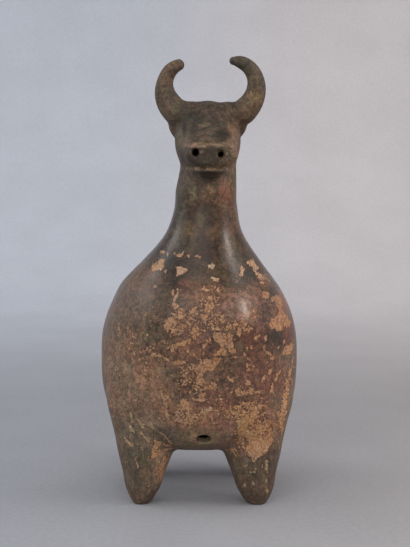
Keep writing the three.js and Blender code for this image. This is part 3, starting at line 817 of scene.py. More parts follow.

# Slip colours: place, half width, half height, and red, green and blue as a screen shows them. Most are the
# slip's own colour; some are painted highlights, sheen and shade, as marked below
SLIP_TINTS_AND_PAINTED_LIGHT = (
    (4, 262, 12, 5, 83, 70, 64), (-9, 258, 5, 5, 72, 70, 58), (1, 254, 5, 4, 66, 62, 54),
    # painted highlights: the light tints at heights 240.3 and 240.6 on the pad's upper edge, and at 225.6 on
    # the lower lip's ridge
    (-5, 235, 5, 5, 70, 54, 45), (-1, 240.3, 5, 0.9, 128, 110, 94), (15, 240.6, 8, 0.8, 122, 106, 90),
    (8, 225.6, 8, 0.8, 122, 106, 88), (3.5, 254, 2.6, 0.9, 104, 92, 80),
    # painted shade: the dark tints at heights 247.3 and 252.5 sit in the face's two dimples
    (15.2, 247.3, 3.2, 1.7, 62, 54, 42), (-9.5, 252.5, 1.0, 2.4, 58, 52, 44),
    # painted highlights: the two light tints at heights 51.5 and 50.5 on the outlet's rim
    (-3.8, 51.5, 1.6, 3, 120, 100, 74), (10, 50.5, 2, 3, 110, 98, 74),
    (22, 262, 6, 5, 98, 78, 64), (6, 249, 6, 5, 92, 82, 70), (25, 245, 5, 8, 126, 100, 84),
    (-11, 244, 5, 8, 98, 90, 78), (15, 247, 4, 2, 70, 62, 50), (6, 235, 10, 6, 68, 60, 46),
    # painted shadow: the dark tint at height 223 under the lower lip
    (8, 223, 9, 3, 60, 50, 40), (-25, 284, 8, 10, 104, 86, 76), (-32, 270, 3, 10, 94, 92, 80),
    (-19, 262, 5, 4, 122, 104, 92), (42, 283, 5, 8, 100, 86, 72), (38, 273, 3, 3, 142, 111, 79),
    (32, 265, 4, 4, 126, 98, 82), (24, 295, 5, 4, 78, 74, 64), (-12, 292, 6, 5, 106, 86, 71),
    (-2, 212, 9, 9, 88, 74, 62), (18.5, 209, 2.8, 8, 124, 85, 64), (20, 222, 6, 6, 108, 90, 76),
    (-13, 202, 3, 18, 74, 78, 64), (6, 209.5, 2.6, 4, 114, 97, 70),
    (-3.5, 211, 1.5, 3, 103, 98, 74), (1, 192.5, 1.4, 2.4, 111, 101, 74), (15, 200, 4, 5, 104, 82, 66),
    (6, 197, 6, 6, 78, 64, 51), (-7, 184.5, 3.4, 3.6, 112, 98, 76),
    (11.5, 183.6, 3.4, 3.4, 106, 92, 72),
    # painted sheen: the bluish grey tint at side -13, height 178 on the neck's left
    (22, 189, 3, 6, 116, 88, 70), (-13, 178, 5, 6, 84, 78, 76), (6, 173, 6, 6, 84, 66, 56),
    (19, 174, 4, 6, 112, 92, 82), (28, 176, 4, 6, 98, 82, 62), (-20, 165, 5, 5, 68, 58, 44),
    (-28, 165, 5, 3, 88, 76, 64), (-38, 152, 8, 8, 110, 92, 76), (-28, 151, 6, 6, 98, 80, 68),
    # painted sheen: the lilac grey tint at side -45, height 141 on the left shoulder
    (-45, 141, 8, 6, 102, 91, 84), (-32, 138, 8, 6, 98, 84, 71), (-22, 143, 4, 8, 84, 74, 60),
    (-15, 157, 5, 5, 70, 58, 43), (-6, 165, 5, 4, 84, 66, 56), (4, 157, 8, 5, 88, 72, 55),
    (-6, 151, 5, 4, 112, 80, 70), (4, 144, 6, 5, 124, 88, 72), (17, 160, 6, 5, 100, 84, 64),
    # partly painted sheen, partly the slip's own lighter grey: the light lilac tints at heights 142, 138 and
    # 137 on the right dome
    (26, 153, 8, 4, 88, 72, 56), (34, 157, 5, 4, 88, 76, 64), (22, 142, 8, 6, 118, 94, 82),
    (30, 138, 8, 8, 134, 110, 100), (39, 141, 4, 8, 120, 92, 78), (19, 137, 5, 5, 114, 92, 86),
    (42, 134, 3, 8, 96, 76, 72), (46, 147, 5, 4, 104, 78, 60), (50, 146, 4, 5, 84, 70, 54),
    (56, 135, 3, 8, 128, 82, 66), (50, 114, 6, 5, 72, 61, 51), (60, 114, 3, 5, 108, 62, 50),
    (37, 116, 8, 6, 106, 66, 56), (24, 108, 5, 6, 92, 76, 66), (34, 94, 13, 12, 104, 64, 55),
    (19, 92, 6, 6, 88, 70, 60), (47, 87, 9, 8, 108, 70, 60), (8, 113, 6, 8, 92, 66, 62),
    (-4, 113, 6, 5, 112, 80, 68), (11, 78, 8, 5, 106, 72, 64), (27, 77, 8, 4, 94, 70, 58),
    (-2, 122, 5, 4, 96, 68, 64), (-28, 119, 6, 6, 82, 76, 66), (-45, 119, 9, 9, 98, 88, 77),
    (-48, 103, 8, 10, 112, 98, 86), (-32, 103, 6, 5, 104, 86, 72), (-32, 94, 6, 8, 128, 100, 82),
    (-17, 95, 8, 6, 88, 80, 68), (-9, 87, 8, 8, 90, 74, 66), (-38, 78, 14, 10, 106, 90, 76),
    (-22, 78, 5, 8, 116, 88, 72), (-6, 65, 9, 6, 124, 92, 72), (8, 65, 8, 6, 124, 94, 80),
    (17, 62, 6, 6, 112, 84, 74), (-2, 52, 9, 5, 102, 88, 66), (17, 46, 5, 5, 100, 84, 72),
    (-32, 62, 6, 5, 104, 88, 77), (-42, 59, 6, 9, 96, 88, 75), (-22, 55, 6, 5, 86, 79, 67),
    (37, 55, 10, 12, 132, 102, 76), (32, 46, 3, 5, 118, 84, 74), (42, 62, 4, 3, 112, 84, 78),
    (-45, 27, 6, 10, 81, 75, 65), (-32, 23, 5, 9, 93, 82, 64), (-25, 26, 4, 7, 136, 112, 90),
    (-38, 8, 9, 5, 88, 74, 62), (-30, 6, 5, 4, 82, 66, 56), (37, 20, 9, 8, 90, 74, 60),
    (47, 20, 4, 10, 84, 68, 58), (37, 8, 8, 5, 82, 68, 58), (42, 37, 5, 2, 80, 62, 57),
    # painted highlights: the light tints at heights 236.1 and 235.2 on the nostrils' rims
    (38, 58, 5, 5, 122, 82, 72), (-0.7, 236.1, 2.0, 0.7, 112, 101, 88),
    (15.3, 235.2, 1.9, 0.7, 112, 101, 88), (27, 27, 4, 8, 88, 78, 66),
)

# Bare clay colours, in the same way
CLAY_TINTS = (
    (0, 110, 40, 40, 175, 129, 88), (57, 110, 18, 60, 200, 142, 104), (60, 80, 6, 24, 190, 148, 112),
    (38, 54, 24, 18, 176, 134, 94), (29, 56, 5, 8, 182, 144, 104), (39, 42, 9, 6, 184, 142, 108),
    (-45, 100, 25, 45, 158, 142, 120), (-20, 160, 30, 16, 188, 158, 132), (9, 163, 5, 5, 178, 158, 138),
    (30, 160, 14, 8, 192, 158, 130), (5, 230, 40, 40, 120, 100, 78), (-38, 25, 12, 25, 160, 144, 120),
    (-36, 54, 16, 12, 166, 152, 126), (-28, 39, 4, 5, 180, 140, 104), (39, 22, 10, 13, 142, 134, 112),
    (-24, 26, 6, 10, 184, 142, 112), (0, 65, 20, 10, 172, 140, 112),
)
CLAY = (160, 124, 96)  # where none of them reaches
HOLD = (0.06, 0.05)  # weight of the colour where no tint reaches, for slip and for clay

# Slip by height where no tint reaches, and on the back: height, colour
SLIP_BY_HEIGHT = (
    (0, (84, 72, 60)), (40, (90, 78, 66)), (70, (98, 84, 71)), (110, (102, 87, 74)), (150, (96, 84, 71)),
    (185, (86, 72, 60)), (230, (86, 74, 62)), (300, (90, 78, 66)),
)
SOIL = (138, 124, 104)  # pale dirt in the holes
NOSTRIL_SOIL = 0.3
SOIL_FADES = (0.7, 0.6)  # how far outside the outlet, and outside the nostrils

# What the slip's red, green and blue are multiplied by, by height
WARMTH_BY_HEIGHT = (
    (50, (1.02, 1.0, 0.95)), (85, (1.06, 0.97, 0.86)), (110, (1.08, 0.96, 0.82)), (150, (1.09, 0.96, 0.82)),
    (178, (1.1, 0.95, 0.7)), (192, (1.1, 0.95, 0.72)), (210, (1.06, 0.97, 0.84)), (240, (1.05, 0.99, 0.84)),
    (262, (1.0, 0.98, 0.84)),
)
BETWEEN_FLAKES = np.array([0.54, 0.42, 0.4])  # the slip that is left between flakes is the darkest

# Painted light and shade: what the slip's lightness is multiplied by, by height, darker over the shoulders,
# neck and head and lighter on the lower body, for how the light falls there
PAINTED_LIGHT_AND_SHADE_BY_HEIGHT = (
    (0, 1.12), (30, 1.14), (60, 1.36), (85, 1.2), (110, 1.02), (130, 0.86), (150, 0.7), (165, 0.54),
    (178, 0.46), (190, 0.46), (205, 0.74), (218, 0.88), (232, 0.78), (250, 0.67), (265, 0.66), (285, 0.76),
)

# How well the slip is burnished, by height
GLOSS_BY_HEIGHT = (
    (0, 0.15), (60, 0.3), (100, 0.5), (135, 0.85), (185, 1), (205, 0.8), (222, 0.2), (300, 0.1)
)

# Where it is duller, or shinier: how much, side, height, half width, half height
DULL = ((0.35, -14, 156, 9, 9), (0.6, 33, 154, 10, 10), (-0.3, 30, 139, 7, 10), (0.35, -42, 148, 12, 16))

# Wear: half and more is bare clay
FRONT_WEAR = (0.1, 0.26)  # on the head, and on the body, where no mark is
NECK_WEAR = 40  # how far below the neck's foot the body's wear is full
FLAKE_WEAR = (0.63, 0.84)  # inside a flake on the belly, where the grain leaves crumbs, and on the shoulders
FLAKE_WEAR_AT = (140, 155)  # heights of the two
EDGE = 1.3  # how far a flake's edge fades, for the grain to fray it
MIXTURE_EDGE = 2.5
PATCHY = 0.09  # how much the wear varies over the front
PATCHES = ((11, 1, 41), (5, 0.7, 42))  # and its noises: size, how much, seed
ISLANDS = ((5, 0.11, 43),)  # noise within a mixture
MORE = 0.05  # what each mixture has besides its share
BETWEEN = (0.24, 0.56)  # wear at which slip counts as left between flakes
FRONT_EDGE = (8, -16)  # where the front's marks begin, and where they are full, from the middle
FRONT_SHIFT = 12  # how far below the neck's foot that middle starts to move to the head's
STREAKS = (66, 44)  # heights where the drawn streaks begin, and where they are full

# Wear of the back, from a wide and a small noise
BACK_WIDE = ((26, 1, 31), (11, 0.6, 32))
BACK_SMALL = ((5, 1, 33),)
BACK_RAGGED = 0.5  # how much the small noise breaks the patches' edges
BACK_PATCH = (0.1, 0.5)  # noise where a patch begins, and where it is full
BACK_WORN = (0.17, 0.46)  # wear between the patches, and what a patch adds
BACK_FLAKE = (0.6, 1.6)  # noise where a flake ends, and how steep its edge is
BACK_HEAD = 0.25  # what the head has of this wear
BACK_NECK = (10, -30)  # heights from the neck's foot where it grows, and where it is full

# More wear, or less: how much, side, height, half width, half height
RUBBED = (
    (0.04, 2, 125, 22, 16), (0.14, -3, 99, 26, 12), (0.12, -2, 68, 26, 9), (0.08, 8, 84, 18, 8),
    (0.08, -50, 92, 16, 32), (-0.08, -36, 20, 14, 20), (-0.08, 38, 14, 14, 20), (-0.2, 36, 99, 17, 12),
    (-0.12, 52, 116, 10, 7), (-0.1, -24, 96, 12, 8), (-0.1, 24, 58, 9, 9),
)
TINT_CONTRAST = 1.4  # power of a tint's lightness against the rest
TINT_HUE = 0.75  # and of its hue
TINT_AREA = 30  # a tint that covers this much weighs 1, and a smaller one more
FRAY = ((4, 0.7), (1.9, 0.4))  # size of the wander of the marks' outlines, and how far


def linear(colour):
    """A colour as a screen shows it, 0 to 255, in linear light."""
    c = np.array(colour) / 255
    return np.where(c <= 0.04045, c / 12.92, ((c + 0.055) / 1.055) ** 2.4)


def facing_front(p):
    """1 where the marks of the front are seen, 0 on the back."""
    middle = SKULL[1] * ease(NECK_CUT - FRONT_SHIFT, HEAD_CUT, p[:, 2])
    return ease(middle + FRONT_EDGE[0], middle + FRONT_EDGE[1], p[:, 1])


def off_line(x, z, ax, az, bx, bz):
    """How far each place is from a line between two ends."""
    width, height = bx - ax, bz - az
    along = np.clip(((x - ax) * width + (z - az) * height) / (width**2 + height**2), 0, 1)
    return np.hypot(x - ax - along * width, z - az - along * height)


def depth_inside(x, z, outline):
    """How far inside an outline each place lies, and less than nothing outside it."""
    nearest = np.full(len(x), float(FAR))
    inside = np.zeros(len(x), bool)
    for (ax, az), (bx, bz) in zip(outline, outline[1:] + outline[:1]):
        nearest = np.minimum(nearest, off_line(x, z, ax, az, bx, bz))
        if az != bz:
            inside ^= ((az > z) != (bz > z)) & (x < ax + (z - az) * (bx - ax) / (bz - az))
    return np.where(inside, nearest, -nearest)


def wandered(p):
    """Places seen from the front, moved a little so that outlines wander."""
    x, z = p[:, 0].copy(), p[:, 2].copy()
    for seed, (size, far) in enumerate(FRAY):
        x += far * lattice_noise(p, size, 10 + seed)
        z += far * lattice_noise(p, size, 20 + seed)
    return x, z


def front_wear(p):
    """How bare the clay of the front is: half and more is bare, less is slip that only the grain breaks."""
    x, z = wandered(p)
    made = between(FRONT_WEAR, ease(NECK_CUT, NECK_CUT - NECK_WEAR, z))
    for rise, *place in RUBBED:
        made = made + rise * bump(x, z, *place)
    made = made + PATCHY * layered(p, PATCHES)
    islands = layered(p, ISLANDS)
    for share, outline in MIXTURES:
        inside = ease(-MIXTURE_EDGE, MIXTURE_EDGE, depth_inside(x, z, outline))
        made = np.maximum(made, (share + MORE + islands) * inside)
    most = between(FLAKE_WEAR, ease(*FLAKE_WEAR_AT, z))
    for outline in FLAKES:
        made = np.maximum(made, np.minimum(0.5 + depth_inside(x, z, outline) / (2 * EDGE), most))
    for *ends, half in SCRATCHES:
        made = np.maximum(made, 0.5 + (half - off_line(x, z, *ends)) / (2 * EDGE))
    for side, level, half_width, half_height in SPOTS:
        off = np.hypot((x - side) / half_width, (z - level) / half_height)
        made = np.maximum(made, 0.5 + (1 - off) * min(half_width, half_height) / (2 * EDGE))
    return made


def back_wear(p):
    """The same for the sides and back, which the marks don't reach."""
    wide, small = layered(p, BACK_WIDE), layered(p, BACK_SMALL)
    patches = BACK_WORN[0] + BACK_WORN[1] * ease(*BACK_PATCH, wide + BACK_RAGGED * small)
    flakes = 0.5 + (small - BACK_FLAKE[0]) * BACK_FLAKE[1]
    low, high = BACK_NECK
    share = BACK_HEAD + (1 - BACK_HEAD) * ease(NECK_CUT + low, NECK_CUT + high, p[:, 2])
    return np.maximum(patches, flakes) * share


def tinted(p, tints, rest, hold):
    """Colours that melt into each other, and into the rest where none is near."""
    total = rest * hold
    weight = np.full((len(p), 1), hold)
    for side, level, half_width, half_height, *colour in tints:
        near = bump(p[:, 0], p[:, 2], side, level, half_width, half_height)[:, None]
        near = near * TINT_AREA / (half_width * half_height)
        total = total + near * linear(colour)
        weight = weight + near
    return total / weight


def by_height(p, ladder):
    """Colours read off a ladder of heights, each with its colour."""
    heights, colours = zip(*ladder)
    return np.stack([np.interp(p[:, 2], heights, channel) for channel in zip(*colours)], 1)


def soiling(p):
    """1 inside the outlet's bore, where pale dirt sticks, and less inside the nostrils."""
    off, along = bore(p)
    in_outlet = ease(OUTLET_RADIUS + SOIL_FADES[0], OUTLET_RADIUS, off) * (along < OUTLET_DEPTH)
    return np.maximum(in_outlet, NOSTRIL_SOIL * ease(SOIL_FADES[1], 0, nostrils(p)))


def slip_colours(points, wear, front):
    """Linear colours of the slip: tinted on the front, where some tints are painted highlights and shade,
    with painted light and shade by height, and darker where little of it is left.
    """
    rest = by_height(points, [(height, linear(colour)) for height, colour in SLIP_BY_HEIGHT])
    change = tinted(points, SLIP_TINTS_AND_PAINTED_LIGHT, rest, HOLD[0]) / rest
    lighter = change.mean(1)[:, None]
    slip = rest * (change / lighter) ** (TINT_HUE * front) * lighter ** (TINT_CONTRAST * front)
    # painted light and shade by height: darker above, lighter below
    slip = slip * np.interp(points[:, 2], *zip(*PAINTED_LIGHT_AND_SHADE_BY_HEIGHT))[:, None]
    slip = slip * by_height(points, WARMTH_BY_HEIGHT)
    return slip * (1 + (BETWEEN_FLAKES - 1) * ease(*BETWEEN, wear)[:, None] * front)


def paint_on(mesh, points):
    """Writes what the finish reads, vertex by vertex."""
    front = facing_front(points)
    wear = np.clip(front_wear(points) * front + back_wear(points) * (1 - front), 0, 1)
    gloss = np.interp(points[:, 2], *zip(*GLOSS_BY_HEIGHT))
    for drop, *place in DULL:
        gloss = gloss * (1 - drop * front * bump(points[:, 0], points[:, 2], *place))
    slip = slip_colours(points, wear, front[:, None])
    soiled = soiling(points)
    slip = slip + (linear(SOIL) - slip) * soiled[:, None]
    bare = tinted(points, CLAY_TINTS, linear(CLAY), HOLD[1])
    # the slip colour written here holds the painted highlights and shade of the tints, and the painted light
    # and shade by height
    for name, values in (("slip", slip), ("bare", bare)):
        layer = mesh.attributes.new(name, "FLOAT_COLOR", "POINT")
        layer.data.foreach_set("color", np.hstack([values, np.ones((len(values), 1))]).ravel())
    for name, values in (
        ("wear", wear * (1 - soiled)),
        ("streak", ease(*STREAKS, points[:, 2])),
        ("gloss", gloss),
    ):
        mesh.attributes.new(name, "FLOAT", "POINT").data.foreach_set("value", values)


# Finish: burnished slip, worn through to the clay


def attached(tree, kind, settings, inputs, output=0):
    """A new node, set and linked; returns one of its outputs."""
    made = tree.nodes.new("ShaderNode" + kind)
    for name, value in settings.items():
        setattr(made, name, value)
    for key, value in inputs.items():
        if isinstance(value, bpy.types.NodeSocket):
            tree.links.new(value, made.inputs[key])
        else:
            made.inputs[key].default_value = value
    return made.outputs[output]


def sum_of(tree, a, b, scale=1.0):
    """a + b * scale"""
    return attached(tree, "Math", {"operation": "MULTIPLY_ADD"}, {0: b, 1: scale, 2: a})


def product(tree, a, b):
    return attached(tree, "Math", {"operation": "MULTIPLY"}, {0: a, 1: b})


def mapped(tree, value, low, high, to_low=0.0, to_high=1.0):
    inputs = {"Value": value, "From Min": low, "From Max": high, "To Min": to_low, "To Max": to_high}
    return attached(tree, "MapRange", {"interpolation_type": "SMOOTHSTEP"}, inputs)


def mixed(tree, share, a, b):
    return attached(tree, "Mix", {"data_type": "RGBA"}, {0: share, 6: a, 7: b}, 2)


def dimmed(tree, colour, by):
    return attached(tree, "VectorMath", {"operation": "SCALE"}, {0: colour, "Scale": by})


def times(tree, colour, by):
    return attached(tree, "VectorMath", {"operation": "MULTIPLY"}, {0: colour, 1: by})


def grain(tree, place, size, detail=3.0, roughness=0.6, twist=0.0):
    """Noise with features of that many millimetres, about 0.5."""
    inputs = {"Vector": place, "Scale": 1 / (size * MM), "Detail": detail, "Roughness": roughness}
    return attached(tree, "TexNoise", {}, inputs | {"Distortion": twist})


def material(name):
    """A new material, its node tree, its shader and the places on the object."""
    look = bpy.data.materials.new(name)
    look.use_nodes = True
    tree = look.node_tree
    return look, tree, tree.nodes["Principled BSDF"], attached(tree, "TexCoord", {}, {}, "Object")


# Grains of the surface: size in millimetres, detail, roughness, twist
GRAINS = {
    "fine": (1.3, 3.0, 0.6, 0.4),
    "flaky": (2.9, 4.0, 0.54, 1.7),
    "mottled": (3.1, 3.0, 0.6, 0.3),
    "hued": (3.9, 3.0, 0.6, 0.4),
    "blotchy": (8,),
    "cloudy": (21,),
}
DRAWN = (1.5, 1.5, 15)  # size of the streaks drawn down the legs, each way
PAINTED = {"slip": "Color", "bare": "Color", "wear": "Fac", "streak": "Fac", "gloss": "Fac"}

# How much each grain breaks the wear, and how sharply the slip ends
BREAKS = {"flaky": 1.2, "fine": 0.42, "drawn": 0.45}
SLIP_END = 0.022
SLIP_THIN = (0.13, 0.01, 0.8)  # before its end: where it thins out, from where to where, and how much

# How the grains lighten and darken: from where, to where, the darkest, the lightest
SLIP_LIGHT = {
    "fine": (0.36, 0.64, 0.72, 1.28),
    "mottled": (0.42, 0.58, 0.73, 1.27),
    "blotchy": (0.38, 0.62, 0.84, 1.16),
}
CLAY_LIGHT = {"flaky": (0.36, 0.7, 0.72, 1.2), "fine": (0.36, 0.64, 0.76, 1.18)}
DRAWN_LIGHT = 2.0
CALMER = 0.35  # how much less the slip varies on the legs

# What the slip's and the clay's colours are multiplied by in places, and the steps of the grain that does it
OLIVE, MAROON, TO_MAROON = (0.95, 1.0, 0.88), (1.1, 0.96, 0.99), (0.4, 0.6)
RUST, TO_RUST = (1.07, 0.97, 0.95), (0.38, 0.62)
BAKED, TO_BAKED = (0.97, 0.84, 0.77), (0.42, 0.64, 0.0, 0.8)
OCHRE, TO_OCHRE = (1.03, 0.97, 0.86), (0.42, 0.58)
RIM = (0.58, 0.47, 0.4)

# Roughness of matt slip in the mottled grain, what burnishing takes off, and what bare clay adds
SLIP_ROUGH = (0.35, 0.65, 0.6, 0.72)
BURNISH = 0.41
CLAY_ROUGH = 0.3
SPECULAR = 0.42

# Relief of each grain in millimetres, and what of the fine ones is left where nothing is burnished
RELIEF = {"fine": 0.16, "gone": -0.16, "mottled": 0.14, "blotchy": 0.25, "drawn": 0.3}
GRAINY = 1.24


def surface_grains(tree, place):
    """Every grain and painted value that the finish is made from, by name."""
    made = {name: grain(tree, place, *values) for name, values in GRAINS.items()}
    for name, kind in PAINTED.items():
        made[name] = attached(tree, "Attribute", {"attribute_name": name}, {}, kind)
    stretched = times(tree, place, tuple(1 / (size * MM) for size in DRAWN))
    drawn = attached(tree, "TexNoise", {}, {"Vector": stretched, "Scale": 1.0, "Detail": 2.0})
    made["drawn"] = product(tree, sum_of(tree, drawn, -0.5), made["streak"])
    return made


def worn(tree, read):
    """How much of the slip is gone, and how thin it is before that."""
    value = read["wear"]
    for name, share in BREAKS.items():
        value = sum_of(tree, value, read[name], share)
    middle = 0.5 + BREAKS["flaky"] / 2 + BREAKS["fine"] / 2
    start, end, most = SLIP_THIN
    gone = mapped(tree, value, middle - SLIP_END, middle + SLIP_END)
    return gone, mapped(tree, value, middle - start, middle - end, 0.0, most)


def lit(tree, read, lights):
    made = 1.0
    for name, steps in lights.items():
        made = product(tree, made, mapped(tree, read[name], *steps))
    return made


def slip_colour(tree, read, thin):
    """Lighter and darker in the grain, olive and maroon in turns, browner where it is thin."""
    light = product(tree, lit(tree, read, SLIP_LIGHT), sum_of(tree, 1.0, read["drawn"], DRAWN_LIGHT))
    light = sum_of(tree, 1.0, sum_of(tree, light, -1.0), sum_of(tree, 1.0, read["streak"], -CALMER))
    made = dimmed(tree, read["slip"], light)
    olive, maroon = times(tree, made, OLIVE), times(tree, made, MAROON)
    made = mixed(tree, mapped(tree, read["hued"], *TO_MAROON), olive, maroon)
    made = mixed(tree, mapped(tree, read["cloudy"], *TO_RUST), made, times(tree, made, RUST))
    return mixed(tree, thin, made, times(tree, read["bare"], RIM))


def clay_colour(tree, read):
    """Paler and redder in turns."""
    made = dimmed(tree, read["bare"], lit(tree, read, CLAY_LIGHT))
    made = mixed(tree, mapped(tree, read["hued"], *TO_BAKED), made, times(tree, made, BAKED))
    return mixed(tree, mapped(tree, read["blotchy"], *TO_OCHRE), made, times(tree, made, OCHRE))


def slip_finish(name):
    """Burnished slip that shines softly, and bare clay that hardly does."""
    look, tree, surface, place = material(name)
    read = surface_grains(tree, place)
    read["gone"], thin = worn(tree, read)
    colour = mixed(tree, read["gone"], slip_colour(tree, read, thin), clay_colour(tree, read))
    rough = sum_of(tree, mapped(tree, read["mottled"], *SLIP_ROUGH), read["gloss"], -BURNISH)
    rough = sum_of(tree, rough, read["gone"], CLAY_ROUGH)
    grainy = sum_of(tree, GRAINY, read["gloss"], -1.0)
    for key in ("fine", "mottled"):
        read[key] = product(tree, read[key], grainy)
    height = 0.0
    for key, high in RELIEF.items():
        height = sum_of(tree, height, read[key], high)
    bumped = attached(tree, "Bump", {}, {"Height": height, "Strength": 1.0, "Distance": MM})
    surface.inputs["Specular IOR Level"].default_value = SPECULAR
    for made, socket in ((colour, "Base Color"), (rough, "Roughness"), (bumped, "Normal")):
        tree.links.new(made, surface.inputs[socket])
    return look


def read_off(items, name, width, kind=float):
    """One value of each of a mesh's items, with that many numbers in a row."""
    values = np.empty(len(items) * width, kind)
    items.foreach_get(name, values)
    return values.reshape(-1, width) if width > 1 else values


def smooth_normals(mesh, points):
    """Normals taken from the fields, so that the cuts between pieces don't show."""
    face_normals = read_off(mesh.polygons, "normal", 3)
    corner_point = read_off(mesh.loops, "vertex_index", 1, np.int32)
    corner_face = np.repeat(np.arange(len(mesh.polygons)), read_off(mesh.polygons, "loop_total", 1, np.int32))
    normals = face_normals[corner_face]
    agreement = 0.6
    for field, side, near in ((clay, 1, 0.2), (cavity, -1, 0.6)):
        on = np.where(np.abs(spread(field, points)) < near)[0]
        outward = np.zeros_like(points)
        outward[on] = side * slope_of(field, points[on])
        agrees = (outward[corner_point] * face_normals[corner_face]).sum(1) > agreement
        normals[agrees] = outward[corner_point[agrees]]
    mesh.polygons.foreach_set("use_smooth", np.ones(len(mesh.polygons), bool))
    mesh.normals_split_custom_set(normals.tolist())


def without_crumbs(mesh):
    """Deletes loose bits that the cuts leave."""
    work = bmesh.new()
    work.from_mesh(mesh)
    left = set(work.verts)
    groups = []
    while left:
        group = {left.pop()}
        edge_of = list(group)
        while edge_of:
            near = {edge.other_vert(vert) for vert in edge_of for edge in vert.link_edges} - group
            group |= near
            edge_of = list(near)
        left -= group
        groups.append(group)
    groups.sort(key=len)
    crumbs = [vert for group in groups[:-1] for vert in group]
    if crumbs:
        bmesh.ops.delete(work, geom=crumbs, context="VERTS")
        work.to_mesh(mesh)
    work.free()


# Pieces that take their finish from each slot of the record
SLOTS = {
    "body_slip": ("belly_shell", "shoulder_shell", "tail"),
    "neck_slip": ("neck_tube",),
    "head_slip": ("head_shell", "ear_left", "ear_right"),
    "muzzle_slip": ("muzzle",),
    "horn_slip": ("horn_left", "horn_right"),
    "leg_slip": ("foreleg_left", "foreleg_right", "hindleg_left", "hindleg_right"),
    "collar_slip": ("filler_collar",),
}


def vessel():
    looks = {slot: slip_finish(slot) for slot in SLOTS}
    slot_of = {node: slot for slot, nodes in SLOTS.items() for node in nodes}
    for node, piece in pieces().items():
        mesh = piece.data
        without_crumbs(mesh)
        points = read_off(mesh.vertices, "co", 3) / MM
        smooth_normals(mesh, points)
        paint_on(mesh, points)
        mesh.materials.clear()
        mesh.materials.append(looks[slot_of[node]])
        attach(piece, "root")
        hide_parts(node)


# Studio: camera, sweep and lamps

CAMERA = np.array([4.2, -800, 225])
CAMERA_DOWN = math.radians(5.16)
PHOTO_LONG_SIDE = 547
PHOTO_FOCUS = 1149.6  # focal length in the photo's pixels
FILM = 36


def camera():
    data = bpy.data.cameras.new("camera")
    data.sensor_width = FILM
    data.lens = FILM * PHOTO_FOCUS / PHOTO_LONG_SIDE
    made = shown("camera", data)
    made.location = (CAMERA * MM).tolist()
    made.rotation_euler = (math.pi / 2 - CAMERA_DOWN, 0, 0)
    bpy.context.scene.camera = made


# Sheet of paper, in metres: half width, front, back, top, radius of the bend, and steps of the bend
SWEEP = (3.2, -3.2, 1.6, 3.2, 0.75, 24)
# Painted light: the sheet is cooler on the left and warmer on the right, as the light falls there
PAPER = ((196, 200, 210), (208, 203, 205))
PAPER_SIDES = (-0.25, 0.3)  # where it is the first colour, and where the second

# Painted shade and light along the sheet: from where to where it changes, and how light it is at both ends.
# The first darkens the floor and the bend, as painted shade; the second lightens the floor near the camera,
# as painted light
PAPER_PAINTED_SHADE = (0.15, 1.15, 0.53, 1.03)
PAPER_PAINTED_LIGHT = (0.04, 0.36, 1.16, 1.0)
PAPER_GRAINS = ((9.0, 3.0, 0.03), (280.0, 2.0, 0.035))  # clouds and fibres: scale, detail, strength
PAPER_STEPS = (0.3, 0.7)  # where they are darkest, and where lightest
PAPER_ROUGH = 0.9
PAPER_SPECULAR = 0.2


def paper():
    look, tree, surface, place = material("paper")
    side, along = (attached(tree, "SeparateXYZ", {}, {0: place}, axis) for axis in "XY")
    cool, warm = (linear(colour).tolist() + [1] for colour in PAPER)
    colour = mixed(tree, mapped(tree, side, *PAPER_SIDES), cool, warm)
    # painted shade on the floor and bend, and painted light on the near floor
    for stretch in (PAPER_PAINTED_SHADE, PAPER_PAINTED_LIGHT):
        colour = dimmed(tree, colour, mapped(tree, along, *stretch))
    for scale, detail, strength in PAPER_GRAINS:
        noise = attached(tree, "TexNoise", {}, {"Vector": place, "Scale": scale, "Detail": detail})
        colour = dimmed(tree, colour, mapped(tree, noise, *PAPER_STEPS, 1 - strength, 1 + strength))
    tree.links.new(colour, surface.inputs["Base Color"])
    surface.inputs["Roughness"].default_value = PAPER_ROUGH
    surface.inputs["Specular IOR Level"].default_value = PAPER_SPECULAR
    return look


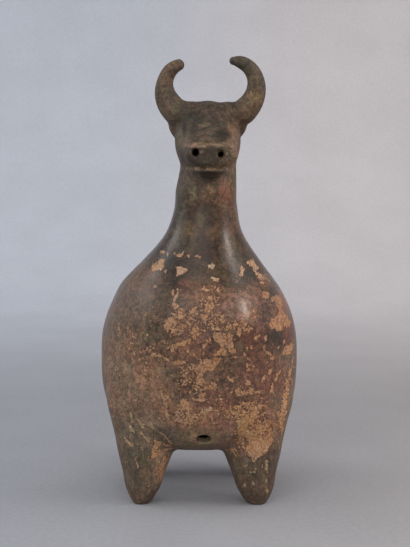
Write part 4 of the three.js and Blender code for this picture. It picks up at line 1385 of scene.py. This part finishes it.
def sweep():
    """Floor and backdrop in one sheet, with a wide bend between them."""
    half, front, back, top, bend, steps = SWEEP
    line = [(front, 0.0), (back - bend, 0.0)]
    for k in range(1, steps + 1):
        turn = math.pi / 2 * k / steps
        line.append((back - bend + bend * math.sin(turn), bend - bend * math.cos(turn)))
    line.append((back, top))
    points = [(side, y, z) for y, z in line for side in (-half, half)]
    faces = [(2 * k, 2 * k + 1, 2 * k + 3, 2 * k + 2) for k in range(len(line) - 1)]
    mesh = bpy.data.meshes.new("sweep")
    mesh.from_pydata(points, [], faces)
    mesh.polygons.foreach_set("use_smooth", [True] * len(mesh.polygons))
    mesh.materials.append(paper())
    shown("sweep", mesh)


# Lamps: name, degrees round from the camera towards the right, degrees up, metres away, size, watts, colour
LAMPS = (
    ("right lamp", 70, 27, 1.2, 0.26, 1.6, (1.0, 0.95, 0.94)),
    ("left lamp", -99, 29, 1.2, 0.45, 1.2, (0.98, 0.98, 1.0)),
    ("right fill", 76, 30, 1.3, 1.1, 2.6, (1.0, 0.98, 0.94)),
    ("left fill", -80, 32, 1.3, 1.1, 2.1, (1.0, 1.0, 0.97)),
    ("front lamp", -10, 30, 1.3, 1.3, 4.3, (1.0, 0.99, 0.94)),
)
LAMP_AIM = (0, 0, 0.13)
SKY = 0.74
HORIZON = (170, 172, 178)  # what is seen beyond the sheet


def lamps():
    for name, turn, rise, away, size, power, colour in LAMPS:
        data = bpy.data.lights.new(name, "AREA")
        data.shape = "DISK"
        data.size = size
        data.energy = power
        data.color = colour
        made = shown(name, data)
        turn, rise = math.radians(turn), math.radians(rise)
        toward = Vector((math.sin(turn) * math.cos(rise), -math.cos(turn) * math.cos(rise), math.sin(rise)))
        made.location = Vector(LAMP_AIM) + toward * away
        made.rotation_euler = toward.to_track_quat("Z", "Y").to_euler()
        made.visible_camera = False
    world = bpy.data.worlds.new("studio")
    world.use_nodes = True
    tree = world.node_tree
    seen = 0.0
    for ray in ("Is Camera Ray", "Is Glossy Ray", "Is Transmission Ray"):
        seen = sum_of(tree, seen, attached(tree, "LightPath", {}, {}, ray))
    colour = mixed(tree, seen, (SKY, SKY, SKY, 1), linear(HORIZON).tolist() + [1])
    tree.links.new(colour, tree.nodes["Background"].inputs["Color"])
    bpy.context.scene.world = world
    bpy.context.scene.view_settings.view_transform = "Standard"


camera()
sweep()
lamps()
vessel()
